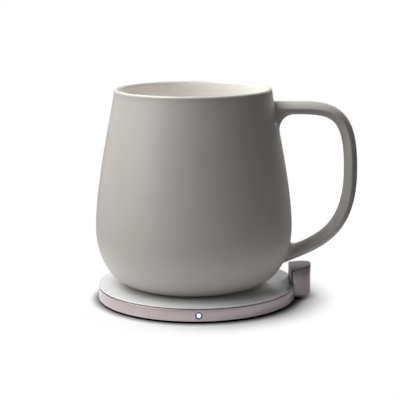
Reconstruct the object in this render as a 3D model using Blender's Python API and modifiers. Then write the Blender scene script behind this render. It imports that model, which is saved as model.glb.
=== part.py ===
"""Self heating mug on its warmer, modelled as an assembly of separate pieces.

Units are metres and +Z is up. The origin is on the mug's axis at the table. +X runs to the mug's
handle and to the warmer's post, and the warmer's status light faces -Y. The mug lifts off along +Z.
Nothing holds the mug sideways, and it stands a little to the side of the warmer's middle.
"""

import math

import bmesh
import bpy
from mathutils import Matrix, Vector
from mathutils.geometry import interpolate_bezier

# Fits and cuts shared by all pieces
SEAT_GAP = 0.0003
CUT_OVERRUN = 0.002
WELD_DISTANCE = 0.000002

# Outside of the warmer
WARMER_RADIUS = 0.0500
RING_CLEARANCE = 0.0010
RING_HEIGHT = 0.0057
RING_WALL = 0.0015
RING_EDGE = 0.0003
PLATE_THICKNESS = 0.0008
PLATE_BEVEL = 0.00025
POCKET_CLEARANCE = 0.0004

# Tray and rubber foot of the warmer
TRAY_FLOOR = 0.0013
TRAY_WALL = 0.0013
TRAY_WALL_RISE = 0.0030
FOOT_RECESS = 0.0006
FOOT_MARGIN = 0.0016
FOOT_EDGE = 0.0003
TONGUE_STEP = 0.0002
FERRITE_RIB_WALL = 0.0008
FERRITE_RIB_RISE = 0.0009

# Screws that hold the tray to the plate's bosses
SCREW_HEAD_RADIUS = 0.0016
SCREW_HEAD_HEIGHT = 0.0005
SCREW_SHANK_RADIUS = 0.0007
SCREW_LENGTH = 0.0036
SCREW_ANGLES = (math.radians(45), math.radians(135), math.radians(225), math.radians(315))
BOSS_RADIUS = 0.0022
BOSS_CLEARANCE = 0.0005

# Coil, ferrite and temperature sensor
COIL_WIRE = 0.0008
COIL_TURN_GAP = 0.0005
COIL_INNER_RADIUS = 0.0100
COIL_POINTS_A_TURN = 24
COIL_CROSSING_GAP = 0.0005
COIL_LEAD_OFFSET = 0.0038
COIL_LEAD_BEND_STEPS = 4
COIL_PAD_REACH = 0.0025
SAME_BEND_SHARE = 4.0
FERRITE_MARGIN = 0.0015
FERRITE_THICKNESS = 0.0007
SENSOR_RADIUS = 0.0015

# Circuit board and what stands on it, as length along the radius, width and height
BOARD_THICKNESS = 0.0008
BOARD_RING_WIDTH = 0.0149
BOARD_RING_GAP = 0.0012
BOARD_TONGUE_WIDTH = 0.0064
CONTROLLER_SIZE = (0.0060, 0.0060, 0.0009)
CONTROLLER_ANGLE = math.radians(120)
DRIVER_SIZE = (0.0050, 0.0050, 0.0009)
DRIVER_ANGLE = math.radians(62)
INDUCTOR_SIZE = (0.0066, 0.0066, 0.0020)
INDUCTOR_ANGLE = math.radians(90)
CAPACITOR_SIZE = (0.0050, 0.0030, 0.0018)
CAPACITOR_ANGLES = (math.radians(165), math.radians(175), math.radians(185), math.radians(195))
CHIP_EDGE = 0.0001

# Status light
LIGHT_ANGLE = math.radians(-90)
LIGHT_CHIP_SIZE = (0.0008, 0.0016, 0.0008)
LIGHT_PIPE_RADIUS = 0.0011
LIGHT_BEZEL_WALL = 0.0003
LIGHT_FIT = 0.0002
LIGHT_BEZEL_DEPTH = 0.0012

# Post, seen from above: a flat inner side, set in from the warmer's edge, and a half-round outer side
POST_INSET = 0.0026
POST_REACH = 0.0106
POST_HALF_WIDTH = 0.0090
POST_HEIGHT = 0.0153
POST_TOP_TILT = math.radians(9.5)
POST_CAP_EDGE = 0.0003
POST_INNER_EDGE = 0.0004
POST_GROOVE = 0.0004
POST_SHELL_WALL = 0.0008
POST_SHELL_CORNER = 0.0010
POST_CAP_CORNER = 0.0004

# Power inlet in the post
INLET_LENGTH = 0.0073
INLET_HEIGHT = 0.00894
INLET_WIDTH = 0.00326
INLET_WALL = 0.0003
INLET_BACK = 0.0012
INLET_TONGUE_HEIGHT = 0.0067
INLET_TONGUE_WIDTH = 0.0007
INLET_TONGUE_SETBACK = 0.0008
INLET_SETBACK = 0.0004
POST_BOARD_THICKNESS = 0.0008

# Ceramic body of the mug, and how far it stands from the warmer's middle, away from the post
MUG_ASIDE = 0.0014
MUG_HEIGHT = 0.09835
RIM_RADIUS = 0.0393
LIP_THICKNESS = 0.0024
BELLY_INSET = 0.0006
BELLY_HEIGHT = 0.02875
MUG_WALL = 0.0036
FOOT_RADIUS = 0.0290
FLOOR_THICKNESS = 0.0040
CAVITY_FLOOR_RADIUS = 0.0220
RIM_PULL = 0.0046
SHOULDER_PULL = 0.0226
BELLY_PULL = 0.0143
FOOT_PULL = 0.0136
CAVITY_BELLY_PULL = 0.0095
CAVITY_FLOOR_PULL = 0.0140

# Handle of the mug: its centre line in the XZ plane, out from the belly, then its section
HANDLE_TOP_HEIGHT = 0.0883
HANDLE_STANDOFF = 0.0296
HANDLE_MIDDLE_HEIGHT = 0.0560
HANDLE_LOW_HEIGHT = 0.0150
HANDLE_LOW_STANDOFF = 0.0018
HANDLE_LOW_SLOPE = math.radians(22)
HANDLE_TOP_PULL = 0.0188
HANDLE_UPPER_PULL = 0.0290
HANDLE_LOWER_PULL = 0.0285
HANDLE_LOW_PULL = 0.0156
HANDLE_THICKNESS = 0.0065
HANDLE_WIDTH = 0.0130
HANDLE_ROOT_DEPTH = 0.0080
HANDLE_ROOT_BLEND = 0.0092
HANDLE_ROOT_WIDENING = 0.0016
HANDLE_LOW_SWELL = 0.0022
HANDLE_FACE_POWER = 2.4
HANDLE_RIDGE_POWER = 1.3

# Parts under the mug's floor, from the bottom up
RECESS_RADIUS = 0.0255
COVER_INSET = 0.0004
COVER_THICKNESS = 0.0013
COVER_EDGE = 0.0003
SEAL_WIRE = 0.0010
SHIELD_THICKNESS = 0.0014
HEATING_PLATE_THICKNESS = 0.0010

# Facets
ROUND_STEPS = 48
SMALL_ROUND_STEPS = 16
SEAL_SECTION_STEPS = 8
POST_ARC_STEPS = 20
POST_CORNER_STEPS = 4
LIP_STEPS = 6
OUTSIDE_UPPER_POINTS = 11
OUTSIDE_LOWER_POINTS = 9
CAVITY_UPPER_POINTS = 8
CAVITY_LOWER_POINTS = 7
HANDLE_ROOT_STEPS = 7
HANDLE_UPPER_POINTS = 12
HANDLE_LOWER_POINTS = 13
SMOOTH_ANGLE = math.radians(35)

# Heights and radii worked out from the sizes above
RING_TOP = RING_CLEARANCE + RING_HEIGHT
PLATE_BOTTOM = RING_TOP + SEAT_GAP
PLATE_TOP = PLATE_BOTTOM + PLATE_THICKNESS
MUG_BOTTOM = PLATE_TOP + SEAT_GAP
TRAY_RADIUS = WARMER_RADIUS - RING_WALL - SEAT_GAP
TRAY_FLOOR_BOTTOM = RING_CLEARANCE + FOOT_RECESS
TRAY_FLOOR_TOP = TRAY_FLOOR_BOTTOM + TRAY_FLOOR
TONGUE_TOP = TRAY_FLOOR_TOP - TONGUE_STEP
POST_BOTTOM = TRAY_FLOOR_TOP + SEAT_GAP
SCREW_CIRCLE = TRAY_RADIUS - TRAY_WALL - BOSS_CLEARANCE - BOSS_RADIUS
BOARD_OUTER_RADIUS = SCREW_CIRCLE - BOSS_RADIUS - SEAT_GAP
BOARD_INNER_RADIUS = BOARD_OUTER_RADIUS - BOARD_RING_WIDTH
BOARD_MIDDLE_RADIUS = (BOARD_INNER_RADIUS + BOARD_OUTER_RADIUS) / 2
RIB_INNER_RADIUS = BOARD_INNER_RADIUS - BOARD_RING_GAP - FERRITE_RIB_WALL
FERRITE_RADIUS = RIB_INNER_RADIUS - SEAT_GAP
COIL_PITCH = COIL_WIRE + COIL_TURN_GAP
COIL_TURNS = round((FERRITE_RADIUS - FERRITE_MARGIN - COIL_INNER_RADIUS) / COIL_PITCH)
COIL_RADIUS = COIL_INNER_RADIUS + COIL_TURNS * COIL_PITCH
FERRITE_BOTTOM = TRAY_FLOOR_TOP + SEAT_GAP
FERRITE_TOP = FERRITE_BOTTOM + FERRITE_THICKNESS
COIL_HEIGHT = FERRITE_TOP + SEAT_GAP + COIL_WIRE / 2
COIL_CROSSING_HEIGHT = COIL_HEIGHT + COIL_WIRE + COIL_CROSSING_GAP
BOARD_BOTTOM = TRAY_FLOOR_TOP + SEAT_GAP
BOARD_TOP = BOARD_BOTTOM + BOARD_THICKNESS
LIGHT_HEIGHT = (RING_CLEARANCE + RING_TOP) / 2
LIGHT_BEZEL_INNER = LIGHT_PIPE_RADIUS + LIGHT_FIT
LIGHT_BEZEL_OUTER = LIGHT_BEZEL_INNER + LIGHT_BEZEL_WALL
LIGHT_HOLE_RADIUS = LIGHT_BEZEL_OUTER + LIGHT_FIT
POST_INNER = WARMER_RADIUS - POST_INSET
SHELL_INSET = POST_SHELL_WALL + SEAT_GAP
SHELL_START = POST_INNER + POST_INNER_EDGE + POST_GROOVE
INLET_MOUTH = POST_INNER + POST_REACH - INLET_SETBACK
INLET_REAR = INLET_MOUTH - INLET_LENGTH
INLET_BOTTOM = BOARD_TOP + SEAT_GAP
INLET_MIDDLE = INLET_BOTTOM + INLET_HEIGHT / 2
RECESS_TOP = (
    COVER_INSET + COVER_THICKNESS + SHIELD_THICKNESS + HEATING_PLATE_THICKNESS + 3 * SEAT_GAP
)
CAVITY_FLOOR = RECESS_TOP + FLOOR_THICKNESS
BELLY_RADIUS = WARMER_RADIUS - BELLY_INSET
HANDLE_REACH = BELLY_RADIUS + HANDLE_STANDOFF
HANDLE_LOW_RADIUS = BELLY_RADIUS + HANDLE_LOW_STANDOFF


def clear_scene():
    """Removes every object that the scene opened with."""
    for item in list(bpy.data.objects):
        bpy.data.objects.remove(item, do_unlink=True)


def new_collection(name):
    """Returns a new collection linked to the scene."""
    group = bpy.data.collections.new(name)
    bpy.context.scene.collection.children.link(group)
    return group


clear_scene()
PARTS = new_collection("self_heating_mug")
CUTTERS = new_collection("cutters")


def finish(name, colour, roughness, metallic=0.0):
    """Returns a Principled material."""
    material = bpy.data.materials.new(name)
    material.use_nodes = True
    shader = material.node_tree.nodes["Principled BSDF"]
    shader.inputs["Base Color"].default_value = (*colour, 1.0)
    shader.inputs["Roughness"].default_value = roughness
    shader.inputs["Metallic"].default_value = metallic
    material.diffuse_color = (*colour, 1.0)
    return material


STONEWARE = finish("stoneware_glaze", (0.36, 0.34, 0.32), 0.45)
ANODISED = finish("rose_grey_anodised", (0.42, 0.37, 0.38), 0.35, 0.9)
PALE_PLATE = finish("pale_plate", (0.72, 0.72, 0.73), 0.25)
DARK_MOULDING = finish("dark_moulding", (0.05, 0.05, 0.055), 0.55)
GREY_MOULDING = finish("grey_moulding", (0.28, 0.27, 0.28), 0.5)
BLACK_RUBBER = finish("black_rubber", (0.02, 0.02, 0.02), 0.85)
SEAL_RUBBER = finish("seal_silicone", (0.35, 0.35, 0.36), 0.7)
COPPER = finish("enamelled_copper", (0.65, 0.28, 0.12), 0.3, 1.0)
FERRITE = finish("ferrite", (0.09, 0.09, 0.10), 0.6)
STEEL = finish("steel", (0.55, 0.55, 0.56), 0.3, 1.0)
CIRCUIT = finish("circuit_board", (0.02, 0.12, 0.05), 0.5)
CHIP = finish("chip_resin", (0.03, 0.03, 0.03), 0.5)
CAPACITOR = finish("capacitor_ceramic", (0.45, 0.33, 0.20), 0.5)
FELT = finish("insulating_pad", (0.75, 0.73, 0.68), 0.9)
LIGHT = finish("clear_lens", (0.80, 0.88, 1.00), 0.1)


def empty(name, location):
    """Adds an empty that carries one moving group."""
    holder = bpy.data.objects.new(name, None)
    holder.location = location
    PARTS.objects.link(holder)
    return holder


WARMER = empty("warmer_frame", (0, 0, 0))
MUG = empty("mug_lift_axis", (-MUG_ASIDE, 0, MUG_BOTTOM))


def place(item, material, parent):
    """Puts an object in the parts collection with its material and its parent."""
    for group in list(item.users_collection):
        group.objects.unlink(item)
    PARTS.objects.link(item)
    item.parent = parent
    if not item.data.materials:
        item.data.materials.append(material)
    if item.type == "MESH":
        item.data.shade_smooth()
        item.data.set_sharp_from_angle(angle=SMOOTH_ANGLE)
    return item


def place_cutter(item, parent=None):
    """Puts an object in the cutters collection, out of the render."""
    for group in list(item.users_collection):
        group.objects.unlink(item)
    CUTTERS.objects.link(item)
    item.parent = parent
    item.hide_render = True
    item.display_type = "WIRE"
    return item


def mesh_object(name, shape):
    """Returns an object made from a bmesh, which is freed."""
    bmesh.ops.recalc_face_normals(shape, faces=shape.faces)
    mesh = bpy.data.meshes.new(name)
    shape.to_mesh(mesh)
    shape.free()
    item = bpy.data.objects.new(name, mesh)
    PARTS.objects.link(item)
    return item


def box(name, size, centre, turn=0.0):
    """Returns a box of a size round its centre, turned about its own vertical."""
    shape = bmesh.new()
    bmesh.ops.create_cube(shape, size=1.0)
    bmesh.ops.scale(shape, vec=Vector(size), verts=shape.verts)
    item = mesh_object(name, shape)
    item.location = centre
    item.rotation_euler.z = turn
    return item


def cylinder(name, radius, bottom, top, centre=(0, 0), steps=ROUND_STEPS):
    """Returns an upright cylinder between two heights."""
    shape = bmesh.new()
    bmesh.ops.create_cone(
        shape, cap_ends=True, segments=steps, radius1=radius, radius2=radius, depth=top - bottom
    )
    item = mesh_object(name, shape)
    item.location = (*centre, (bottom + top) / 2)
    return item


def outward_cylinder(name, radius, start, end, height, angle):
    """Returns a level cylinder that runs outward from the axis between two distances."""
    item = cylinder(name, radius, start, end, steps=SMALL_ROUND_STEPS)
    middle = (start + end) / 2
    item.location = (middle * math.cos(angle), middle * math.sin(angle), height)
    item.rotation_euler = (0, math.pi / 2, angle)
    return item


def turned(name, profile, steps=ROUND_STEPS):
    """Returns a solid turned about Z from a profile of (radius, height) points, with a Screw.

    The profile runs down the outer side, and a profile that ends off the axis is closed on itself.
    """
    shape = bmesh.new()
    points = [shape.verts.new((radius, 0, height)) for radius, height in profile]
    for first, second in zip(points, points[1:]):
        shape.edges.new((first, second))
    if profile[0][0] > 0:
        shape.edges.new((points[-1], points[0]))
    mesh = bpy.data.meshes.new(name)
    shape.to_mesh(mesh)
    shape.free()
    item = bpy.data.objects.new(name, mesh)
    PARTS.objects.link(item)
    screw = item.modifiers.new("turn", "SCREW")
    screw.axis = "Z"
    screw.angle = 2 * math.pi
    screw.steps = steps
    screw.render_steps = steps
    screw.use_merge_vertices = True
    screw.merge_threshold = WELD_DISTANCE
    screw.use_smooth_shade = True
    return item


def flat_piece(name, outlines, bottom, top):
    """Returns a flat piece between two heights from closed outlines, the holes among them."""
    curve = bpy.data.curves.new(name, "CURVE")
    curve.dimensions = "2D"
    curve.fill_mode = "BOTH"
    curve.extrude = (top - bottom) / 2
    for outline in outlines:
        spline = curve.splines.new("POLY")
        spline.points.add(len(outline) - 1)
        for point, (x, y) in zip(spline.points, outline):
            point.co = (x, y, 0, 1)
        spline.use_cyclic_u = True
    item = bpy.data.objects.new(name, curve)
    PARTS.objects.link(item)
    item.location.z = (bottom + top) / 2
    return solid_of(item)


def solid_of(item):
    """Turns a curve object into a mesh object of the same name, with its caps welded."""
    bpy.context.view_layer.update()
    evaluated = item.evaluated_get(bpy.context.evaluated_depsgraph_get())
    mesh = bpy.data.meshes.new_from_object(evaluated)
    name = item.name
    matrix = item.matrix_world.copy()
    bpy.data.objects.remove(item, do_unlink=True)
    shape = bmesh.new()
    shape.from_mesh(mesh)
    bmesh.ops.remove_doubles(shape, verts=shape.verts, dist=WELD_DISTANCE)
    bmesh.ops.recalc_face_normals(shape, faces=shape.faces)
    shape.to_mesh(mesh)
    shape.free()
    mesh.name = name
    solid = bpy.data.objects.new(name, mesh)
    solid.matrix_world = matrix
    PARTS.objects.link(solid)
    return solid


def combine(item, other, operation):
    """Adds a Boolean of one object with a helper that stays out of the render."""
    if other.name not in CUTTERS.objects:
        place_cutter(other, other.parent)
    boolean = item.modifiers.new(operation.lower(), "BOOLEAN")
    boolean.operation = operation
    boolean.solver = "EXACT"
    boolean.object = other


def cut(item, cutter):
    """Cuts a helper's shape out of an object."""
    combine(item, cutter, "DIFFERENCE")


def join(item, addition):
    """Joins a helper's shape to an object."""
    combine(item, addition, "UNION")


def bevel(item, width, segments=1):
    """Adds a Bevel to the sharp edges of an object."""
    modifier = item.modifiers.new("edges", "BEVEL")
    modifier.width = width
    modifier.segments = segments
    modifier.limit_method = "ANGLE"
    modifier.angle_limit = SMOOTH_ANGLE


def bezier(start, start_handle, end_handle, end, count):
    """Returns count points, (x, z), of one cubic Bezier."""
    knots = [Vector((x, 0, z)) for x, z in (start, start_handle, end_handle, end)]
    return [(point.x, point.z) for point in interpolate_bezier(*knots, count)]


def circle(radius, steps=ROUND_STEPS):
    """Returns the points of a circle round the axis."""
    angles = [2 * math.pi * step / steps for step in range(steps)]
    return [(radius * math.cos(angle), radius * math.sin(angle)) for angle in angles]


def post_arc(offset):
    """Returns the half-round side of the post's plan, moved outward by an offset."""
    angles = [math.pi * (step / POST_ARC_STEPS - 0.5) for step in range(POST_ARC_STEPS + 1)]
    reach = POST_REACH + offset
    across = POST_HALF_WIDTH + offset
    return [(POST_INNER + reach * math.cos(angle), across * math.sin(angle)) for angle in angles]


def post_pocket(name, bottom, top):
    """Returns the cutter that makes room for the post in what surrounds it."""
    inner = POST_INNER - POCKET_CLEARANCE
    across = POST_HALF_WIDTH + POCKET_CLEARANCE
    outline = [(inner, -across), *post_arc(POCKET_CLEARANCE), (inner, across)]
    return flat_piece(name, [outline], bottom, top)


def post_top(x):
    """Returns the height of the post's sloping top at a distance from the axis."""
    return POST_HEIGHT + (x - POST_INNER) * math.tan(POST_TOP_TILT)


def slope_top(item, setback):
    """Lifts the upper points of a flat piece onto the post's slope, less a setback."""
    for vertex in item.data.vertices:
        if vertex.co.z > 0:
            vertex.co.z = post_top(vertex.co.x) - setback - item.location.z


def make_rubber_foot():
    """Full-width rubber mat, let into the tray's underside."""
    radius = TRAY_RADIUS - FOOT_MARGIN
    top = TRAY_FLOOR_BOTTOM - SEAT_GAP
    profile = [
        (0, top),
        (radius, top),
        (radius, FOOT_EDGE),
        (radius - FOOT_EDGE, 0),
        (0, 0),
    ]
    place(turned("rubber_foot", profile), BLACK_RUBBER, WARMER)


def make_outer_ring():
    """Metal band round the warmer, open where the post stands."""
    inner = WARMER_RADIUS - RING_WALL
    profile = [
        (inner, RING_TOP),
        (WARMER_RADIUS - RING_EDGE, RING_TOP),
        (WARMER_RADIUS, RING_TOP - RING_EDGE),
        (WARMER_RADIUS, RING_CLEARANCE + RING_EDGE),
        (WARMER_RADIUS - RING_EDGE, RING_CLEARANCE),
        (inner, RING_CLEARANCE),
    ]
    ring = turned("outer_ring", profile, 2 * ROUND_STEPS)
    pocket = post_pocket("ring_pocket", RING_CLEARANCE - CUT_OVERRUN, RING_TOP + CUT_OVERRUN)
    cut(ring, pocket)
    hole = outward_cylinder(
        "ring_light_hole",
        LIGHT_HOLE_RADIUS,
        inner - CUT_OVERRUN,
        WARMER_RADIUS + CUT_OVERRUN,
        LIGHT_HEIGHT,
        LIGHT_ANGLE,
    )
    cut(ring, hole)
    place(ring, ANODISED, WARMER)


def screw_places():
    """Returns the (x, y) places of the tray's screws."""
    return [
        (SCREW_CIRCLE * math.cos(angle), SCREW_CIRCLE * math.sin(angle)) for angle in SCREW_ANGLES
    ]


def make_top_plate():
    """Thin plate that the mug stands on, with the screw bosses under it."""
    profile = [
        (0, PLATE_TOP),
        (WARMER_RADIUS - PLATE_BEVEL, PLATE_TOP),
        (WARMER_RADIUS, PLATE_TOP - PLATE_BEVEL),
        (WARMER_RADIUS, PLATE_BOTTOM),
        (0, PLATE_BOTTOM),
    ]
    plate = turned("top_plate", profile, 2 * ROUND_STEPS)
    boss_bottom = TRAY_FLOOR_TOP + SEAT_GAP
    plate_middle = (PLATE_TOP + PLATE_BOTTOM) / 2
    pilot_radius = SCREW_SHANK_RADIUS + SEAT_GAP
    for number, spot in enumerate(screw_places(), 1):
        boss = cylinder(
            f"plate_boss_{number}", BOSS_RADIUS, boss_bottom, plate_middle, spot, SMALL_ROUND_STEPS
        )
        join(plate, boss)
        pilot = cylinder(
            f"plate_pilot_{number}",
            pilot_radius,
            boss_bottom - CUT_OVERRUN,
            PLATE_BOTTOM - SEAT_GAP,
            spot,
            SMALL_ROUND_STEPS,
        )
        cut(plate, pilot)
    cut(plate, post_pocket("plate_pocket", PLATE_BOTTOM - CUT_OVERRUN, PLATE_TOP + CUT_OVERRUN))
    place(plate, PALE_PLATE, WARMER)


def tray_profile():
    """Returns the tray's profile: floor, ferrite rib, outer wall and the recess for the foot."""
    wall_inner = TRAY_RADIUS - TRAY_WALL
    wall_top = TRAY_FLOOR_TOP + TRAY_WALL_RISE
    rib_outer = RIB_INNER_RADIUS + FERRITE_RIB_WALL
    rib_top = TRAY_FLOOR_TOP + FERRITE_RIB_RISE
    recess = TRAY_RADIUS - FOOT_MARGIN + SEAT_GAP
    return [
        (0, TRAY_FLOOR_TOP),
        (RIB_INNER_RADIUS, TRAY_FLOOR_TOP),
        (RIB_INNER_RADIUS, rib_top),
        (rib_outer, rib_top),
        (rib_outer, TRAY_FLOOR_TOP),
        (wall_inner, TRAY_FLOOR_TOP),
        (wall_inner, wall_top),
        (TRAY_RADIUS, wall_top),
        (TRAY_RADIUS, RING_CLEARANCE),
        (recess, RING_CLEARANCE),
        (recess, TRAY_FLOOR_BOTTOM),
        (0, TRAY_FLOOR_BOTTOM),
    ]


def make_base_tray():
    """Moulded bottom of the warmer, with its wall, rib, screw seats and post tongue."""
    tray = turned("base_tray", tray_profile())
    gate_start = TRAY_RADIUS - TRAY_WALL - SEAT_GAP
    gate_end = TRAY_RADIUS + CUT_OVERRUN
    gate_bottom = TONGUE_TOP + TONGUE_STEP / 2
    gate_top = TRAY_FLOOR_TOP + TRAY_WALL_RISE + CUT_OVERRUN
    gate = box(
        "post_gate",
        (gate_end - gate_start, 2 * (POST_HALF_WIDTH + POCKET_CLEARANCE), gate_top - gate_bottom),
        ((gate_start + gate_end) / 2, 0, (gate_bottom + gate_top) / 2),
    )
    cut(tray, gate)
    tongue_start = TRAY_RADIUS - TRAY_WALL - FOOT_MARGIN
    arc = post_arc(-SHELL_INSET)
    tongue_plan = [(tongue_start, arc[0][1]), *arc, (tongue_start, arc[-1][1])]
    tongue = flat_piece("post_tongue", [tongue_plan], RING_CLEARANCE + TONGUE_STEP, TONGUE_TOP)
    foot_room = cylinder(
        "tongue_foot_room",
        TRAY_RADIUS - FOOT_MARGIN + 2 * SEAT_GAP,
        RING_CLEARANCE,
        TRAY_FLOOR_BOTTOM + TONGUE_STEP,
    )
    cut(tongue, foot_room)
    join(tray, tongue)
    head_seat_top = TRAY_FLOOR_BOTTOM + SCREW_HEAD_HEIGHT + SEAT_GAP
    for number, spot in enumerate(screw_places(), 1):
        seat = cylinder(
            f"screw_seat_{number}",
            SCREW_HEAD_RADIUS + SEAT_GAP,
            RING_CLEARANCE,
            head_seat_top,
            spot,
            SMALL_ROUND_STEPS,
        )
        cut(tray, seat)
        hole = cylinder(
            f"screw_hole_{number}",
            SCREW_SHANK_RADIUS + SEAT_GAP,
            RING_CLEARANCE,
            TRAY_FLOOR_TOP + CUT_OVERRUN,
            spot,
            SMALL_ROUND_STEPS,
        )
        cut(tray, hole)
    channel = outward_cylinder(
        "light_channel",
        LIGHT_HOLE_RADIUS,
        BOARD_OUTER_RADIUS,
        TRAY_RADIUS + CUT_OVERRUN,
        LIGHT_HEIGHT,
        LIGHT_ANGLE,
    )
    cut(tray, channel)
    place(tray, DARK_MOULDING, WARMER)


def make_screws():
    """Four screws, their heads in the tray and their shanks in the plate's bosses."""
    head_top = TRAY_FLOOR_BOTTOM + SCREW_HEAD_HEIGHT
    for number, (x, y) in enumerate(screw_places(), 1):
        profile = [
            (0, head_top + SCREW_LENGTH),
            (SCREW_SHANK_RADIUS, head_top + SCREW_LENGTH),
            (SCREW_SHANK_RADIUS, head_top),
            (SCREW_HEAD_RADIUS, head_top),
            (SCREW_HEAD_RADIUS, TRAY_FLOOR_BOTTOM),
            (0, TRAY_FLOOR_BOTTOM),
        ]
        screw = turned(f"tray_screw_{number}", profile, SMALL_ROUND_STEPS)
        screw.location = (x, y, 0)
        place(screw, STEEL, WARMER)


def make_ferrite_disc():
    """Magnetic backing under the coil."""
    disc = cylinder("ferrite_disc", FERRITE_RADIUS, FERRITE_BOTTOM, FERRITE_TOP)
    place(disc, FERRITE, WARMER)


def coil_path():
    """Returns the wire's centre line: the inner lead, the flat turns and the outer lead."""
    total = COIL_TURNS * COIL_POINTS_A_TURN
    turns = []
    for step in range(total + 1):
        angle = 2 * math.pi * step / COIL_POINTS_A_TURN
        radius = COIL_INNER_RADIUS + COIL_PITCH * step / COIL_POINTS_A_TURN
        turns.append(Vector((radius * math.cos(angle), radius * math.sin(angle), COIL_HEIGHT)))
    lead_end = BOARD_INNER_RADIUS + COIL_PAD_REACH
    climb = COIL_CROSSING_HEIGHT - COIL_HEIGHT
    inner_lead = [Vector((lead_end, -COIL_LEAD_OFFSET, COIL_HEIGHT))]
    inner_lead.append(Vector((BOARD_INNER_RADIUS, -COIL_LEAD_OFFSET, COIL_HEIGHT)))
    inner_lead.append(Vector((FERRITE_RADIUS, -COIL_LEAD_OFFSET, COIL_CROSSING_HEIGHT)))
    inner_lead.append(Vector((COIL_INNER_RADIUS, -COIL_LEAD_OFFSET, COIL_CROSSING_HEIGHT)))
    for step in range(COIL_LEAD_BEND_STEPS, 0, -1):
        share = step / (COIL_LEAD_BEND_STEPS + 1)
        x = COIL_INNER_RADIUS - COIL_PITCH * math.sin(math.pi * share / 2)
        inner_lead.append(Vector((x, -COIL_LEAD_OFFSET * share, COIL_HEIGHT + climb * share)))
    outer_lead = []
    for step in range(1, COIL_LEAD_BEND_STEPS + 1):
        bend = math.pi * step / COIL_LEAD_BEND_STEPS / 2
        x = COIL_RADIUS + COIL_LEAD_OFFSET * (1 - math.cos(bend))
        outer_lead.append(Vector((x, COIL_LEAD_OFFSET * math.sin(bend), COIL_HEIGHT)))
    outer_lead.append(Vector((lead_end, COIL_LEAD_OFFSET, COIL_HEIGHT)))
    return inner_lead + turns + outer_lead


def least_self_gap(path, wire):
    """Returns the least gap between lengths of a wire that lie more than a bend apart."""
    fine = []
    for start, end in zip(path, path[1:]):
        pieces = max(1, round((end - start).length / (wire / 2)))
        fine.extend(start.lerp(end, piece / pieces) for piece in range(pieces))
    along = [0.0]
    for start, end in zip(fine, fine[1:]):
        along.append(along[-1] + (end - start).length)
    least = math.inf
    for first, start in enumerate(fine):
        for second in range(first + 1, len(fine)):
            if along[second] - along[first] > SAME_BEND_SHARE * wire:
                least = min(least, (fine[second] - start).length)
    return least - wire


def make_transmitter_coil():
    """Flat-wound coil, one unbroken wire with both its leads."""
    path = coil_path()
    gap = least_self_gap(path, COIL_WIRE)
    print(f"transmitter_coil: {COIL_TURNS} turns, least gap to itself {gap * 1000:.3f} mm")
    curve = bpy.data.curves.new("transmitter_coil", "CURVE")
    curve.dimensions = "3D"
    curve.bevel_depth = COIL_WIRE / 2
    curve.bevel_resolution = 1
    curve.use_fill_caps = True
    spline = curve.splines.new("POLY")
    spline.points.add(len(path) - 1)
    for point, place_on_path in zip(spline.points, path):
        point.co = (*place_on_path, 1)
    coil = bpy.data.objects.new("transmitter_coil", curve)
    PARTS.objects.link(coil)
    place(solid_of(coil), COPPER, WARMER)


def make_thermistor():
    """Temperature sensor at the middle of the coil, held up against the plate."""
    sensor = cylinder(
        "thermistor",
        SENSOR_RADIUS,
        FERRITE_TOP + SEAT_GAP,
        PLATE_BOTTOM - SEAT_GAP,
        steps=SMALL_ROUND_STEPS,
    )
    place(sensor, CAPACITOR, WARMER)


def board_part(name, size, radius, angle, material):
    """Stands one component on the main board at a radius and an angle."""
    centre = (radius * math.cos(angle), radius * math.sin(angle), BOARD_TOP + SEAT_GAP + size[2] / 2)
    item = box(name, size, centre, angle)
    bevel(item, CHIP_EDGE)
    place(item, material, WARMER)


def make_main_board():
    """Ring-shaped circuit board with a tongue into the post, and its components."""
    board = flat_piece(
        "main_board", [circle(BOARD_OUTER_RADIUS), circle(BOARD_INNER_RADIUS)], BOARD_BOTTOM, BOARD_TOP
    )
    tongue_start = BOARD_MIDDLE_RADIUS
    tongue_end = INLET_REAR
    tongue = box(
        "board_tongue",
        (tongue_end - tongue_start, BOARD_TONGUE_WIDTH, BOARD_THICKNESS),
        ((tongue_start + tongue_end) / 2, 0, (BOARD_BOTTOM + BOARD_TOP) / 2),
    )
    join(board, tongue)
    place(board, CIRCUIT, WARMER)
    board_part("controller_chip", CONTROLLER_SIZE, BOARD_MIDDLE_RADIUS, CONTROLLER_ANGLE, CHIP)
    board_part("driver_chip", DRIVER_SIZE, BOARD_MIDDLE_RADIUS, DRIVER_ANGLE, CHIP)
    board_part("filter_inductor", INDUCTOR_SIZE, BOARD_MIDDLE_RADIUS, INDUCTOR_ANGLE, CHIP)
    for number, angle in enumerate(CAPACITOR_ANGLES, 1):
        name = f"resonance_capacitor_{number}"
        board_part(name, CAPACITOR_SIZE, BOARD_MIDDLE_RADIUS, angle, CAPACITOR)


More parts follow.
